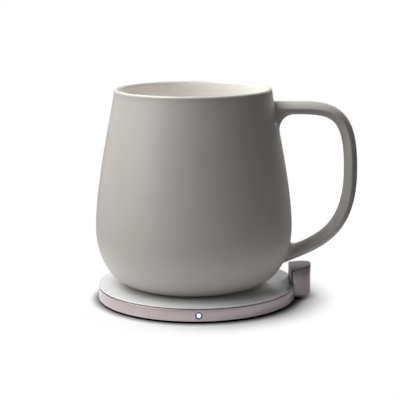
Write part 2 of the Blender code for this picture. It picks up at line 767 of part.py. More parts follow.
def make_status_light():
    """Light chip, clear pipe to the ring's front and the dark bezel round it."""
    chip_radius = BOARD_OUTER_RADIUS - LIGHT_CHIP_SIZE[0]
    board_part("status_led", LIGHT_CHIP_SIZE, chip_radius, LIGHT_ANGLE, LIGHT)
    pipe = outward_cylinder(
        "led_lens",
        LIGHT_PIPE_RADIUS,
        BOARD_OUTER_RADIUS + SEAT_GAP,
        WARMER_RADIUS,
        LIGHT_HEIGHT,
        LIGHT_ANGLE,
    )
    place(pipe, LIGHT, WARMER)
    bezel = outward_cylinder(
        "led_bezel",
        LIGHT_BEZEL_OUTER,
        WARMER_RADIUS - LIGHT_BEZEL_DEPTH,
        WARMER_RADIUS,
        LIGHT_HEIGHT,
        LIGHT_ANGLE,
    )
    bore = outward_cylinder(
        "bezel_bore",
        LIGHT_BEZEL_INNER,
        WARMER_RADIUS - LIGHT_BEZEL_DEPTH - CUT_OVERRUN,
        WARMER_RADIUS + CUT_OVERRUN,
        LIGHT_HEIGHT,
        LIGHT_ANGLE,
    )
    cut(bezel, bore)
    place(bezel, BLACK_RUBBER, WARMER)


def make_post_core():
    """Sloping cap and inner side of the post, with the body that carries the shell and the inlet."""
    bottom = POST_BOTTOM
    body = flat_piece("post_core", [post_arc(-SHELL_INSET)], bottom, POST_HEIGHT)
    slope_top(body, POST_CAP_EDGE / 2)
    half = POST_HALF_WIDTH
    inner = POST_INNER
    corner = POST_CAP_CORNER
    cap_plan = [(inner, corner - half), (inner + corner, -half)]
    cap_plan += [point for point in post_arc(0) if point[0] > inner + corner]
    cap_plan += [(inner + corner, half), (inner, half - corner)]
    cap = flat_piece("post_cap", [cap_plan], POST_HEIGHT - POST_CAP_EDGE, POST_HEIGHT)
    for vertex in cap.data.vertices:
        vertex.co.z += post_top(vertex.co.x) - POST_HEIGHT
    join(body, cap)
    back = inner + POST_INNER_EDGE
    side_plan = [(inner, corner - half), (back, -half), (back, half), (inner, half - corner)]
    side = flat_piece("post_inner_side", [side_plan], bottom, POST_HEIGHT)
    slope_top(side, POST_CAP_EDGE / 2)
    join(body, side)
    board_side = INLET_WIDTH / 2 + POST_BOARD_THICKNESS + 2 * SEAT_GAP
    other_side = INLET_WIDTH / 2 + SEAT_GAP
    cavity_top = INLET_BOTTOM + INLET_HEIGHT + SEAT_GAP
    cavity_start = INLET_REAR - SEAT_GAP
    cavity_end = INLET_MOUTH + CUT_OVERRUN
    cavity_bottom = bottom - CUT_OVERRUN
    cavity = box(
        "inlet_cavity",
        (cavity_end - cavity_start, board_side + other_side, cavity_top - cavity_bottom),
        (
            (cavity_start + cavity_end) / 2,
            (other_side - board_side) / 2,
            (cavity_top + cavity_bottom) / 2,
        ),
    )
    cut(body, cavity)
    slot_top = BOARD_TOP + SEAT_GAP
    slot_start = POST_INNER - CUT_OVERRUN
    slot = box(
        "board_slot",
        (
            INLET_REAR + CUT_OVERRUN - slot_start,
            BOARD_TONGUE_WIDTH + 2 * SEAT_GAP,
            slot_top - cavity_bottom,
        ),
        ((INLET_REAR + CUT_OVERRUN + slot_start) / 2, 0, (slot_top + cavity_bottom) / 2),
    )
    cut(body, slot)
    place(body, GREY_MOULDING, WARMER)


def shell_path():
    """Returns the plan points that the shell follows, close together at its rounded ends."""
    arc = [point for point in post_arc(0) if point[0] > SHELL_START]
    across = POST_HALF_WIDTH * math.sqrt(1 - ((SHELL_START - POST_INNER) / POST_REACH) ** 2)
    line = [Vector((SHELL_START, -across)), *[Vector(point) for point in arc]]
    line.append(Vector((SHELL_START, across)))
    corner = []
    for step in range(POST_CORNER_STEPS + 1):
        bend = math.pi * step / POST_CORNER_STEPS / 2
        corner.append(point_along(line, POST_SHELL_CORNER * (1 - math.cos(bend))))
    middle = [point for point in line if min_end_run(line, point) > POST_SHELL_CORNER]
    far_corner = [Vector((point.x, -point.y)) for point in reversed(corner)]
    return corner + middle + far_corner


def point_along(line, run):
    """Returns the point at a run along a line of points."""
    for start, end in zip(line, line[1:]):
        length = (end - start).length
        if run <= length:
            return start.lerp(end, run / length)
        run -= length
    return line[-1]


def min_end_run(line, point):
    """Returns the straight distance from a point to the nearer end of a line."""
    return min((point - line[0]).length, (point - line[-1]).length)


def make_post_shell():
    """Metal panel wrapped round the post, with rounded upper corners and the inlet's opening."""
    line = shell_path()
    shape = bmesh.new()
    lower = []
    upper = []
    for point in line:
        end_run = min(min_end_run(line, point), POST_SHELL_CORNER)
        rest = POST_SHELL_CORNER - end_run
        drop = POST_SHELL_CORNER - math.sqrt(POST_SHELL_CORNER**2 - rest**2)
        top = post_top(point.x) - POST_CAP_EDGE - POST_GROOVE - drop
        lower.append(shape.verts.new((point.x, point.y, RING_CLEARANCE)))
        upper.append(shape.verts.new((point.x, point.y, top)))
    for step in range(len(line) - 1):
        shape.faces.new((lower[step], lower[step + 1], upper[step + 1], upper[step]))
    mesh = bpy.data.meshes.new("post_shell")
    shape.to_mesh(mesh)
    shape.free()
    shell = bpy.data.objects.new("post_shell", mesh)
    PARTS.objects.link(shell)
    wall = shell.modifiers.new("wall", "SOLIDIFY")
    wall.thickness = POST_SHELL_WALL
    wall.offset = -1
    opening = stadium_bar(
        "inlet_opening",
        INLET_HEIGHT + 2 * SEAT_GAP,
        INLET_WIDTH + 2 * SEAT_GAP,
        INLET_REAR,
        INLET_MOUTH + CUT_OVERRUN,
    )
    cut(shell, opening)
    place(shell, ANODISED, WARMER)


def stadium_bar(name, height, width, start, end):
    """Returns a level bar of stadium section that runs along X at the inlet's height."""
    radius = width / 2
    centre = height / 2 - radius
    outline = []
    for side in (1, -1):
        for step in range(SMALL_ROUND_STEPS // 2 + 1):
            angle = math.pi * (2 * step / SMALL_ROUND_STEPS - 0.5)
            x = side * (centre + radius * math.cos(angle))
            outline.append((x, side * radius * math.sin(angle)))
    bar = flat_piece(name, [outline], start, end)
    bar.matrix_world = (
        Matrix.Translation((0, 0, INLET_MIDDLE))
        @ Matrix.Rotation(math.pi / 2, 4, "Y")
        @ bar.matrix_world
    )
    return bar


def make_power_inlet():
    """Receptacle shell with its contact tongue, and the board that it is soldered to."""
    inlet = stadium_bar("usb_c_receptacle", INLET_HEIGHT, INLET_WIDTH, INLET_REAR, INLET_MOUTH)
    hollow = stadium_bar(
        "receptacle_hollow",
        INLET_HEIGHT - 2 * INLET_WALL,
        INLET_WIDTH - 2 * INLET_WALL,
        INLET_REAR + INLET_BACK,
        INLET_MOUTH + CUT_OVERRUN,
    )
    cut(inlet, hollow)
    tongue_start = INLET_REAR + INLET_BACK / 2
    tongue_end = INLET_MOUTH - INLET_TONGUE_SETBACK
    tongue = box(
        "receptacle_tongue",
        (tongue_end - tongue_start, INLET_TONGUE_WIDTH, INLET_TONGUE_HEIGHT),
        ((tongue_start + tongue_end) / 2, 0, INLET_MIDDLE),
    )
    join(inlet, tongue)
    place(inlet, STEEL, WARMER)
    length = INLET_LENGTH - POST_SHELL_WALL - INLET_SETBACK - SEAT_GAP
    side = INLET_WIDTH / 2 + SEAT_GAP + POST_BOARD_THICKNESS / 2
    board = box(
        "post_board",
        (length, POST_BOARD_THICKNESS, INLET_HEIGHT),
        (INLET_REAR + length / 2, -side, INLET_MIDDLE),
    )
    place(board, CIRCUIT, WARMER)


def mug_outside(offset):
    """Returns the mug's outer profile from the lip to the foot, moved outward by an offset."""
    belly = (BELLY_RADIUS + offset, BELLY_HEIGHT)
    lip_height = MUG_HEIGHT - LIP_THICKNESS / 2
    upper = bezier(
        (RIM_RADIUS + offset, lip_height),
        (RIM_RADIUS + offset, lip_height - RIM_PULL),
        (BELLY_RADIUS + offset, BELLY_HEIGHT + SHOULDER_PULL),
        belly,
        OUTSIDE_UPPER_POINTS,
    )
    lower = bezier(
        belly,
        (BELLY_RADIUS + offset, BELLY_HEIGHT - BELLY_PULL),
        (FOOT_RADIUS + FOOT_PULL, -offset),
        (FOOT_RADIUS, -offset),
        OUTSIDE_LOWER_POINTS,
    )
    return upper + lower[1:]


def mug_inside():
    """Returns the cavity's profile from its floor's edge up to the lip."""
    inner_belly = (BELLY_RADIUS - MUG_WALL, BELLY_HEIGHT)
    inner_rim = RIM_RADIUS - LIP_THICKNESS
    lip_height = MUG_HEIGHT - LIP_THICKNESS / 2
    lower = bezier(
        (CAVITY_FLOOR_RADIUS, CAVITY_FLOOR),
        (CAVITY_FLOOR_RADIUS + CAVITY_FLOOR_PULL, CAVITY_FLOOR),
        (inner_belly[0], BELLY_HEIGHT - CAVITY_BELLY_PULL),
        inner_belly,
        CAVITY_LOWER_POINTS,
    )
    upper = bezier(
        inner_belly,
        (inner_belly[0], BELLY_HEIGHT + SHOULDER_PULL),
        (inner_rim, lip_height - RIM_PULL),
        (inner_rim, lip_height),
        CAVITY_UPPER_POINTS,
    )
    return lower + upper[1:]


def lip_arc():
    """Returns the rounded lip between the cavity and the outside, its ends left out."""
    radius = LIP_THICKNESS / 2
    centre = RIM_RADIUS - radius
    height = MUG_HEIGHT - radius
    angles = [math.pi * (1 - step / LIP_STEPS) for step in range(1, LIP_STEPS)]
    return [(centre + radius * math.cos(angle), height + radius * math.sin(angle)) for angle in angles]


def make_mug_body():
    """Ceramic body: cavity, lip, pot-bellied outside, foot and the recess under the floor."""
    profile = [(0, CAVITY_FLOOR)]
    profile += mug_inside()
    profile += lip_arc()
    profile += mug_outside(0)
    profile += [(RECESS_RADIUS, 0), (RECESS_RADIUS, RECESS_TOP), (0, RECESS_TOP)]
    place(turned("mug_body", profile), STONEWARE, MUG)
    measure_capacity()


def measure_capacity():
    """Prints what the cavity holds when it is full to the lip."""
    inside = [(0, CAVITY_FLOOR), *mug_inside()]
    volume = 0.0
    for (r1, z1), (r2, z2) in zip(inside, inside[1:]):
        volume += math.pi * (z2 - z1) * (r1 * r1 + r1 * r2 + r2 * r2) / 3
    print(f"mug_body: brimful capacity {volume * 1e6:.0f} ml")


def fillet_foot():
    """Returns the body's outer radius where the fillet under the upper root runs out on it."""
    return outside_radius(HANDLE_TOP_HEIGHT - HANDLE_THICKNESS / 2 - HANDLE_ROOT_BLEND)


def handle_path():
    """Returns points and directions along the handle's centre line, from upper to lower root."""
    top = HANDLE_TOP_HEIGHT
    wall = outside_radius(top)
    level_end = fillet_foot() + HANDLE_ROOT_BLEND
    root = [(wall - HANDLE_ROOT_DEPTH, top)]
    for step in range(HANDLE_ROOT_STEPS):
        bend = math.pi * step / HANDLE_ROOT_STEPS / 2
        root.append((wall + (level_end - wall) * (1 - math.cos(bend)), top))
    middle = (HANDLE_REACH, HANDLE_MIDDLE_HEIGHT)
    upper = bezier(
        (level_end, top),
        (level_end + HANDLE_TOP_PULL, top),
        (HANDLE_REACH, HANDLE_MIDDLE_HEIGHT + HANDLE_UPPER_PULL),
        middle,
        HANDLE_UPPER_POINTS,
    )
    low = (HANDLE_LOW_RADIUS, HANDLE_LOW_HEIGHT)
    run = math.cos(HANDLE_LOW_SLOPE)
    rise = math.sin(HANDLE_LOW_SLOPE)
    lower = bezier(
        middle,
        (HANDLE_REACH, HANDLE_MIDDLE_HEIGHT - HANDLE_LOWER_PULL),
        (low[0] + HANDLE_LOW_PULL * run, low[1] + HANDLE_LOW_PULL * rise),
        low,
        HANDLE_LOWER_POINTS,
    )
    end = (low[0] - HANDLE_ROOT_DEPTH * run, low[1] - HANDLE_ROOT_DEPTH * rise)
    line = [Vector(point) for point in [*root, *upper, *lower[1:], end]]
    directions = []
    for step in range(len(line)):
        ahead = line[min(step + 1, len(line) - 1)]
        behind = line[max(step - 1, 0)]
        directions.append((ahead - behind).normalized())
    return line, directions


def outside_radius(height):
    """Returns the mug's outer radius at a height."""
    profile = mug_outside(0)
    for (r1, z1), (r2, z2) in zip(profile, profile[1:]):
        if z2 <= height <= z1:
            return r1 + (r2 - r1) * (z1 - height) / (z1 - z2)
    return RIM_RADIUS


def root_blend(distance):
    """Returns how far a root has swelled at a distance from the body, as a share of its fillet."""
    nearness = 1 - min(max(distance / HANDLE_ROOT_BLEND, 0), 1)
    return 1 - math.sqrt(1 - nearness**2)


def handle_section(centre, direction, upper_half):
    """Returns one section of the strap: soft faces that meet in a ridge along each side."""
    normal = Vector((direction.y, -direction.x))
    swelling = root_blend(centre.x - outside_radius(centre.y))
    half_width = HANDLE_WIDTH / 2 + HANDLE_ROOT_WIDENING * swelling
    outer_half = HANDLE_THICKNESS / 2
    inner_half = HANDLE_THICKNESS / 2
    if upper_half:
        inner_half += HANDLE_ROOT_BLEND * root_blend(centre.x - fillet_foot())
    else:
        inner_half += HANDLE_LOW_SWELL * swelling
    face_power = 2 / HANDLE_FACE_POWER
    ridge_power = 2 / HANDLE_RIDGE_POWER
    ring = []
    for step in range(SMALL_ROUND_STEPS):
        angle = 2 * math.pi * step / SMALL_ROUND_STEPS
        across = half_width * math.copysign(abs(math.sin(angle)) ** face_power, math.sin(angle))
        depth_share = math.copysign(abs(math.cos(angle)) ** ridge_power, math.cos(angle))
        depth = depth_share * (inner_half if depth_share > 0 else outer_half)
        spot = centre + normal * depth
        ring.append((spot.x, across, spot.y))
    return ring


def make_mug_handle():
    """Strap handle, lofted along its centre line and cut to the body that it is luted to."""
    line, directions = handle_path()
    shape = bmesh.new()
    rings = []
    for centre, direction in zip(line, directions):
        upper_half = centre.y > HANDLE_MIDDLE_HEIGHT
        section = handle_section(centre, direction, upper_half)
        rings.append([shape.verts.new(point) for point in section])
    for first, second in zip(rings, rings[1:]):
        for step in range(SMALL_ROUND_STEPS):
            after = (step + 1) % SMALL_ROUND_STEPS
            shape.faces.new((first[step], first[after], second[after], second[step]))
    shape.faces.new(rings[0])
    shape.faces.new(rings[-1])
    handle = mesh_object("mug_handle", shape)
    profile = [(0, MUG_HEIGHT), (RIM_RADIUS + SEAT_GAP, MUG_HEIGHT)]
    profile += mug_outside(SEAT_GAP)
    profile.append((0, -SEAT_GAP))
    body_shape = turned("handle_seat", profile)
    place_cutter(body_shape, MUG)
    cut(handle, body_shape)
    place(handle, STONEWARE, MUG)


def make_mug_base():
    """Heating plate, insulating pad, cover and seal in the recess under the mug's floor."""
    radius = RECESS_RADIUS - SEAT_GAP
    cover_top = COVER_INSET + COVER_THICKNESS
    shield_bottom = cover_top + SEAT_GAP
    shield_top = shield_bottom + SHIELD_THICKNESS
    plate_bottom = shield_top + SEAT_GAP
    heating_plate = cylinder("heating_plate", radius, plate_bottom, RECESS_TOP - SEAT_GAP)
    place(heating_plate, STEEL, MUG)
    shield = cylinder("heat_shield_pad", radius, shield_bottom, shield_top)
    place(shield, FELT, MUG)
    cover_radius = RECESS_RADIUS - SEAL_WIRE - 2 * SEAT_GAP
    profile = [
        (0, cover_top),
        (cover_radius, cover_top),
        (cover_radius, COVER_INSET + COVER_EDGE),
        (cover_radius - COVER_EDGE, COVER_INSET),
        (0, COVER_INSET),
    ]
    place(turned("mug_base_cover", profile), GREY_MOULDING, MUG)
    seal_radius = cover_radius + SEAT_GAP + SEAL_WIRE / 2
    seal_height = COVER_INSET + COVER_THICKNESS / 2
    angles = [2 * math.pi * step / SEAL_SECTION_STEPS for step in range(SEAL_SECTION_STEPS)]
    seal_profile = [
        (seal_radius - SEAL_WIRE * math.cos(angle) / 2, seal_height + SEAL_WIRE * math.sin(angle) / 2)
        for angle in angles
    ]
    place(turned("base_seal", seal_profile), SEAL_RUBBER, MUG)


def build():
    """Builds every piece, from the table up."""
    make_rubber_foot()
    make_base_tray()
    make_outer_ring()
    make_ferrite_disc()
    make_transmitter_coil()
    make_thermistor()
    make_main_board()
    make_status_light()
    make_screws()
    make_top_plate()
    make_post_core()
    make_post_shell()
    make_power_inlet()
    make_mug_body()
    make_mug_handle()
    make_mug_base()
    bpy.context.view_layer.update()


build()
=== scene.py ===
import logging
import math
from dataclasses import dataclass
from enum import Enum, IntEnum
from typing import Callable, Mapping, Sequence

import bmesh
import bpy
from mathutils import Matrix, Vector
from mathutils.geometry import interpolate_bezier


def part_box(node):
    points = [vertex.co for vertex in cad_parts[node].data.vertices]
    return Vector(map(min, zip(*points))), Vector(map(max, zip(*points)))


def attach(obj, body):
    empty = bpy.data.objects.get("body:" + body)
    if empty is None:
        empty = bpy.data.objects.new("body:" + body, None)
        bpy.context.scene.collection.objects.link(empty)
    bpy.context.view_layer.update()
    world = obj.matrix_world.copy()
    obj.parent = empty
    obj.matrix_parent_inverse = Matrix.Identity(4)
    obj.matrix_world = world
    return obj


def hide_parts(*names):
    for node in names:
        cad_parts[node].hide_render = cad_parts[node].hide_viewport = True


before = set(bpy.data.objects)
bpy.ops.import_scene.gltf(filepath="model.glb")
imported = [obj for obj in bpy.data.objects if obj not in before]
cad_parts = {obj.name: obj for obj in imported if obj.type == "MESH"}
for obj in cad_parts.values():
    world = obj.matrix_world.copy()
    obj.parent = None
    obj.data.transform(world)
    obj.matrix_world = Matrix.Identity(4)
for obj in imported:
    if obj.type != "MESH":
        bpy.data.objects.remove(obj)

# The self heating mug on its warmer, finished as it is in the photograph. Units are metres and +Z is
# up. The mug's handle and the warmer's post are on the +X side, and the status light faces -Y.

Point = tuple[float, float]
Place = tuple[float, float, float]
Colour = tuple[float, float, float]
Material = bpy.types.Material
Piece = bpy.types.Object
Node = bpy.types.Node
Socket = bpy.types.NodeSocket
Source = Socket | Colour | float
Inputs = Mapping[str | int, Source]

log = logging.getLogger("self_heating_mug")

ROUND_STEPS = 256
FINE_STEPS = 96
SHARP_EDGE = math.radians(32)
ARC_PULL_SHARE = 0.5523
CUT_OVERRUN = 0.001
ON_AXIS = 0.000001

FULL_RANGE = (0.0, 1.0)
NOISE_RANGE = (0.3, 0.7)
WHITE = (1.0, 1.0, 1.0)
BLACK = (0.0, 0.0, 0.0)
GREY_GLAZE_COLOUR = (0.43, 0.405, 0.382)
LINING_COLOUR = (0.88, 0.855, 0.805)
ANODISED_COLOUR = (0.46, 0.395, 0.405)


class Body(Enum):
    """The moving groups of the frame."""

    MUG = "mug"
    WARMER = "warmer"


class Slot(Enum):
    """The record's material slots, one handed with each new piece."""

    STONEWARE = "stoneware_glaze"
    ANODISED = "rose_grey_anodised"
    PLATE = "pale_plate"
    GREY_MOULDING = "grey_moulding"
    DARK_MOULDING = "dark_moulding"
    RUBBER = "black_rubber"
    STEEL = "steel"
    LENS = "light_lens"


class Zone(IntEnum):
    """The zones of the mug's body, in the order of its finishes."""

    GLAZED = 0
    LINED = 1
    BARE = 2


class NodeSheet:
    """A node tree, with a short method for each node that the finishes and the room share."""

    def __init__(self, tree: bpy.types.NodeTree) -> None:
        """Takes the tree to work on."""
        self.tree = tree

    def feed(self, socket: Socket, source: Source) -> None:
        """Gives an input its value, or links another node's output to it.

        Args:
            socket: The input.
            source: The value or the output.
        """
        if isinstance(source, Socket):
            self.tree.links.new(source, socket)
        elif socket.type == "RGBA":
            socket.default_value = (*source, 1.0)
        else:
            socket.default_value = source

    def add(self, kind: str, inputs: Inputs | None = None, **settings: object) -> Node:
        """Adds a node.

        Args:
            kind: The end of its type's name, after the part that all of them share.
            inputs: What its inputs get, by their name or place.
            settings: Properties to set on the node.

        Returns:
            The node.
        """
        node = self.tree.nodes.new(f"ShaderNode{kind}")
        for key, value in settings.items():
            setattr(node, key, value)
        for name, source in (inputs or {}).items():
            self.feed(node.inputs[name], source)
        return node

    def combined(self, operation: str, first: Source, second: Source) -> Socket:
        """Returns two values combined by an operation."""
        return self.add("Math", {0: first, 1: second}, operation=operation).outputs[0]

    def ranged(self, value: Socket, old: Point, new: Point = FULL_RANGE, **settings: object) -> Socket:
        """Moves a value from one range to another and keeps it within it.

        Args:
            value: The value to move.
            old: The range that it comes in.
            new: The range that it leaves in.
            settings: Properties to set on the node.

        Returns:
            The moved value.
        """
        ends = {"From Min": old[0], "From Max": old[1], "To Min": new[0], "To Max": new[1]}
        return self.add("MapRange", {"Value": value, **ends}, **settings).outputs["Result"]

    def blended(self, share: Socket, first: Source, second: Source) -> Socket:
        """Returns a blend of two colours, by the share of the second."""
        return self.add("Mix", {"Factor": share, 6: first, 7: second}, data_type="RGBA").outputs[2]

    def mixed(self, share: Socket, first: Socket, second: Socket) -> Socket:
        """Returns a mix of two shaders, by the share of the second."""
        return self.add("MixShader", {0: share, 1: first, 2: second}).outputs[0]

    def seen(self) -> Socket:
        """Returns 1 for the rays that show the background, and 0 for the light on the object."""
        path = self.add("LightPath").outputs
        return self.combined("MAXIMUM", path["Is Camera Ray"], path["Is Transmission Ray"])


class ShaderSheet(NodeSheet):
    """The node tree of one material."""

    def __init__(self, name: str) -> None:
        """Starts a material.

        Args:
            name: The material's name.
        """
        self.material = bpy.data.materials.new(name)
        self.material.use_nodes = True
        super().__init__(self.material.node_tree)
        self.shader = self.tree.nodes["Principled BSDF"]
        self.spot = self.add("TexCoord").outputs["Object"]

    def dress(self, inputs: Inputs) -> None:
        """Gives the shader's own inputs what they get, by their names."""
        for name, source in inputs.items():
            self.feed(self.shader.inputs[name], source)

    def noise(self, size: float, detail: float = 3.0, squeeze: float = 1.0) -> Socket:
        """Adds a soft random pattern.

        Args:
            size: The width of its blotches in metres.
            detail: How many finer layers it has.
            squeeze: What places count for along X and Y. Below 1 it draws the blotches out level.

        Returns:
            Its value, from 0 to 1.
        """
        spot = self.spot
        if squeeze != 1.0:
            scale = (squeeze, squeeze, 1.0)
            spot = self.add("Mapping", {"Vector": spot, "Scale": scale}).outputs["Vector"]
        inputs = {"Vector": spot, "Scale": 1 / size, "Detail": detail}
        return self.add("TexNoise", inputs).outputs[0]

    def cells(self, size: float) -> Socket:
        """Returns the distance to the middle of random cells of a size in metres."""
        inputs = {"Vector": self.spot, "Scale": 1 / size}
        return self.add("TexVoronoi", inputs).outputs["Distance"]

    def height(self) -> Socket:
        """Returns the height of a place on the piece, in metres."""
        return self.add("SeparateXYZ", {0: self.spot}).outputs["Z"]

    def relief(self, value: Socket, depth: float) -> Socket:
        """Returns the way that the surface faces, raised by a pattern of a depth in metres."""
        inputs = {"Strength": 1.0, "Distance": depth, "Height": value}
        return self.add("Bump", inputs).outputs["Normal"]

    def diffuse(self, colour: Source) -> Socket:
        """Returns a matt shader of a colour."""
        return self.add("BsdfDiffuse", {"Color": colour}).outputs[0]


def shaded(colour: Colour, share: float) -> Colour:
    """Returns a colour made lighter or darker by a share of itself."""
    return tuple(min(part * (1 + share), 1.0) for part in colour)


@dataclass(frozen=True)
class Finish:
    """A plain moulded or formed surface: a tone that drifts, uneven gloss and a fine grain.

    Attributes:
        name: The material's name.
        colour: Its mean colour.
        roughness: Its mean roughness.
        metallic: 1 for bare metal, 0 for the rest.
        drift_share: How far its tone drifts either way.
        drift_size: The width of that drift, in metres.
        gloss_spread: How far its roughness goes either way.
        grain_size: The width of its grain, in metres.
        grain_depth: The depth of its grain, in metres.
        coat: How much clear gloss lies over it.
        gloss: How strongly it mirrors, where 0.5 is a plain hard surface.
    """

    name: str
    colour: Colour
    roughness: float
    metallic: float = 0.0
    drift_share: float = 0.04
    drift_size: float = 0.012
    gloss_spread: float = 0.04
    grain_size: float = 0.0003
    grain_depth: float = 0.00001
    coat: float = 0.0
    gloss: float = 0.5

    def make(self) -> Material:
        """Returns the finish as a material."""
        return self.sheet().material

    def sheet(self) -> ShaderSheet:
        """Draws up the sheet of the finish.

        Returns:
            The sheet, with its shader dressed.
        """
        sheet = ShaderSheet(self.name)
        rough_range = (self.roughness - self.gloss_spread, self.roughness + self.gloss_spread)
        sheet.dress({
            "Base Color": self.tone(sheet),
            "Metallic": self.metallic,
            "Roughness": sheet.ranged(sheet.noise(self.drift_size), NOISE_RANGE, rough_range),
            "Specular IOR Level": self.gloss,
            "Coat Weight": self.coat,
            "Coat Roughness": self.roughness / 2,
            "Normal": sheet.relief(self.grain(sheet), self.grain_depth),
        })
        return sheet

    def tone(self, sheet: ShaderSheet) -> Socket:
        """Draws the colour, with the drift of its tone.

        Args:
            sheet: The finish's sheet.

        Returns:
            The colour.
        """
        drift = sheet.ranged(sheet.noise(self.drift_size, detail=4.0), NOISE_RANGE)
        dark = shaded(self.colour, -self.drift_share)
        light = shaded(self.colour, self.drift_share)
        return sheet.blended(drift, dark, light)

    def grain(self, sheet: ShaderSheet) -> Socket:
        """Returns the pattern that the surface is raised by."""
        return sheet.noise(self.grain_size)


@dataclass(frozen=True)
class Glaze(Finish):
    """A glaze whose tone changes in a band over the lip: the matt glaze is lighter where it thins,
    and the lining is darker there, as painted shade on the lip's lit top.

    Attributes:
        lip_band_start: The height where the band starts.
        lip_band_end: The height where it is full.
        break_and_shade_share: How much lighter it is there, where below 0 makes it darker as painted
            shade.
    """

    lip_band_start: float = 1.0
    lip_band_end: float = 2.0
    break_and_shade_share: float = 0.25

    def lip_break_and_shade(self, sheet: ShaderSheet, body: Socket) -> Socket:
        """Returns the body's tone changed over the lip: lighter where the glaze thins, darker as
        painted shade.
        """
        lip_mask = sheet.ranged(sheet.height(), (self.lip_band_start, self.lip_band_end))
        return sheet.blended(lip_mask, body, shaded(self.colour, self.break_and_shade_share))


@dataclass(frozen=True)
class StoneGlaze(Glaze):
    """Matt glaze with fine specks in it and slow waves from the throwing.

    Attributes:
        speck_size: The spacing of the specks, in metres.
        speck_share: How much darker a speck is.
        speck_edge: Where a speck starts to fade and where it ends, as shares of its cell.
        wave_size: The height of a wave, in metres.
        wave_squeeze: What draws the waves out level.
    """

    speck_size: float = 0.0011
    speck_share: float = 0.10
    speck_edge: Point = (0.10, 0.16)
    wave_size: float = 0.006
    wave_squeeze: float = 0.25

    def tone(self, sheet: ShaderSheet) -> Socket:
        """Draws the drifting tone with the specks in it and the broken lip.

        Args:
            sheet: The finish's sheet.

        Returns:
            The colour.
        """
        plain = super().tone(sheet)
        specks = sheet.ranged(sheet.cells(self.speck_size), self.speck_edge, (1.0, 0.0))
        specked = sheet.blended(specks, plain, shaded(self.colour, -self.speck_share))
        return self.lip_break_and_shade(sheet, specked)

    def grain(self, sheet: ShaderSheet) -> Socket:
        """Returns the glaze's soft pitting together with the waves."""
        waves = sheet.noise(self.wave_size, detail=2.0, squeeze=self.wave_squeeze)
        return sheet.combined("ADD", sheet.noise(self.grain_size), waves)


@dataclass(frozen=True)
class LiningGlaze(Glaze):
    """Clear-coated pale glaze over the level rings that the thrower's fingers left.

    Attributes:
        ring_size: The spacing of the rings, in metres.
        ring_share: How much darker a band of the rings is.
        ring_range: The levels of the pattern where a dark band starts and where it is darkest.
        ring_squeeze: What draws the rings out level.
    """

    ring_size: float = 0.0022
    ring_share: float = 0.05
    ring_range: Point = (0.35, 0.65)
    ring_squeeze: float = 0.03

    def tone(self, sheet: ShaderSheet) -> Socket:
        """Draws the drifting tone, darker in bands along the rings and, as painted shade, over the lip.

        Args:
            sheet: The finish's sheet.

        Returns:
            The colour.
        """
        plain = super().tone(sheet)
        rings = sheet.ranged(self.grain(sheet), self.ring_range, (1.0, 0.0))
        ring_band_tone = shaded(self.colour, -self.ring_share)
        return self.lip_break_and_shade(sheet, sheet.blended(rings, ring_band_tone, plain))

    def grain(self, sheet: ShaderSheet) -> Socket:
        """Returns the rings, which hardly change round the mug and change fast with height."""
        return sheet.noise(self.ring_size, detail=2.0, squeeze=self.ring_squeeze)


@dataclass(frozen=True)
class TurnedMetal(Finish):
    """Metal with the fine level lines of a lathe under its grain.

    Attributes:
        line_size: The spacing of the lines, in metres.
        line_squeeze: What draws the lines out level.
    """

    line_size: float = 0.0002
    line_squeeze: float = 0.02

    def grain(self, sheet: ShaderSheet) -> Socket:
        """Returns the blasted grain with the lathe's lines across it."""
        lines = sheet.noise(self.line_size, detail=1.0, squeeze=self.line_squeeze)
        return sheet.combined("ADD", sheet.noise(self.grain_size), lines)


@dataclass(frozen=True)
class CircuitBoard(Finish):
    """Green solder resist over copper tracks.

    Attributes:
        track_colour: The resist's colour where a track runs under it.
        track_size: The spacing of the tracks, in metres.
        track_share: The width of a track, as a share of that.
    """

    track_colour: Colour = (0.05, 0.24, 0.09)
    track_size: float = 0.0016
    track_share: float = 0.06

    def tone(self, sheet: ShaderSheet) -> Socket:
        """Draws the resist's colour with the tracks showing through.

        Args:
            sheet: The finish's sheet.

        Returns:
            The colour.
        """
        inputs = {"Vector": sheet.spot, "Scale": 1 / self.track_size, "Mortar Size": self.track_share}
        tracks = sheet.add("TexBrick", inputs).outputs["Fac"]
        return sheet.blended(tracks, super().tone(sheet), self.track_colour)


@dataclass(frozen=True)
class LitLens(Finish):
    """Clear lens that glows white in the middle and blue-violet at its edge.

    Attributes:
        radius: The lens's radius, in metres.
        middle: The middle of its face.
        edge_colour: The glow's colour at the edge.
        edge_range: Where that colour starts and where it is full, as shares of the radius.
        glow: The glow's strength.
    """

    radius: float = 0.0011
    middle: Place = (0.0, 0.0, 0.0)
    edge_colour: Colour = (0.22, 0.22, 0.80)
    edge_range: Point = (0.55, 0.95)
    glow: float = 1.0

    def sheet(self) -> ShaderSheet:
        """Draws up the sheet of the finish and adds the glow.

        Returns:
            The sheet, with its shader dressed.
        """
        sheet = super().sheet()
        ends = {0: sheet.spot, 1: self.middle}
        reach = sheet.add("VectorMath", ends, operation="DISTANCE").outputs["Value"]
        edge = sheet.ranged(reach, tuple(self.radius * share for share in self.edge_range))
        sheet.dress({
            "Emission Color": sheet.blended(edge, self.colour, self.edge_colour),
            "Emission Strength": self.glow,
        })
        return sheet


def smoothed(mesh: bpy.types.Mesh) -> None:
    """Shades a mesh smooth, apart from its sharp edges."""
    mesh.shade_smooth()
    mesh.set_sharp_from_angle(angle=SHARP_EDGE)


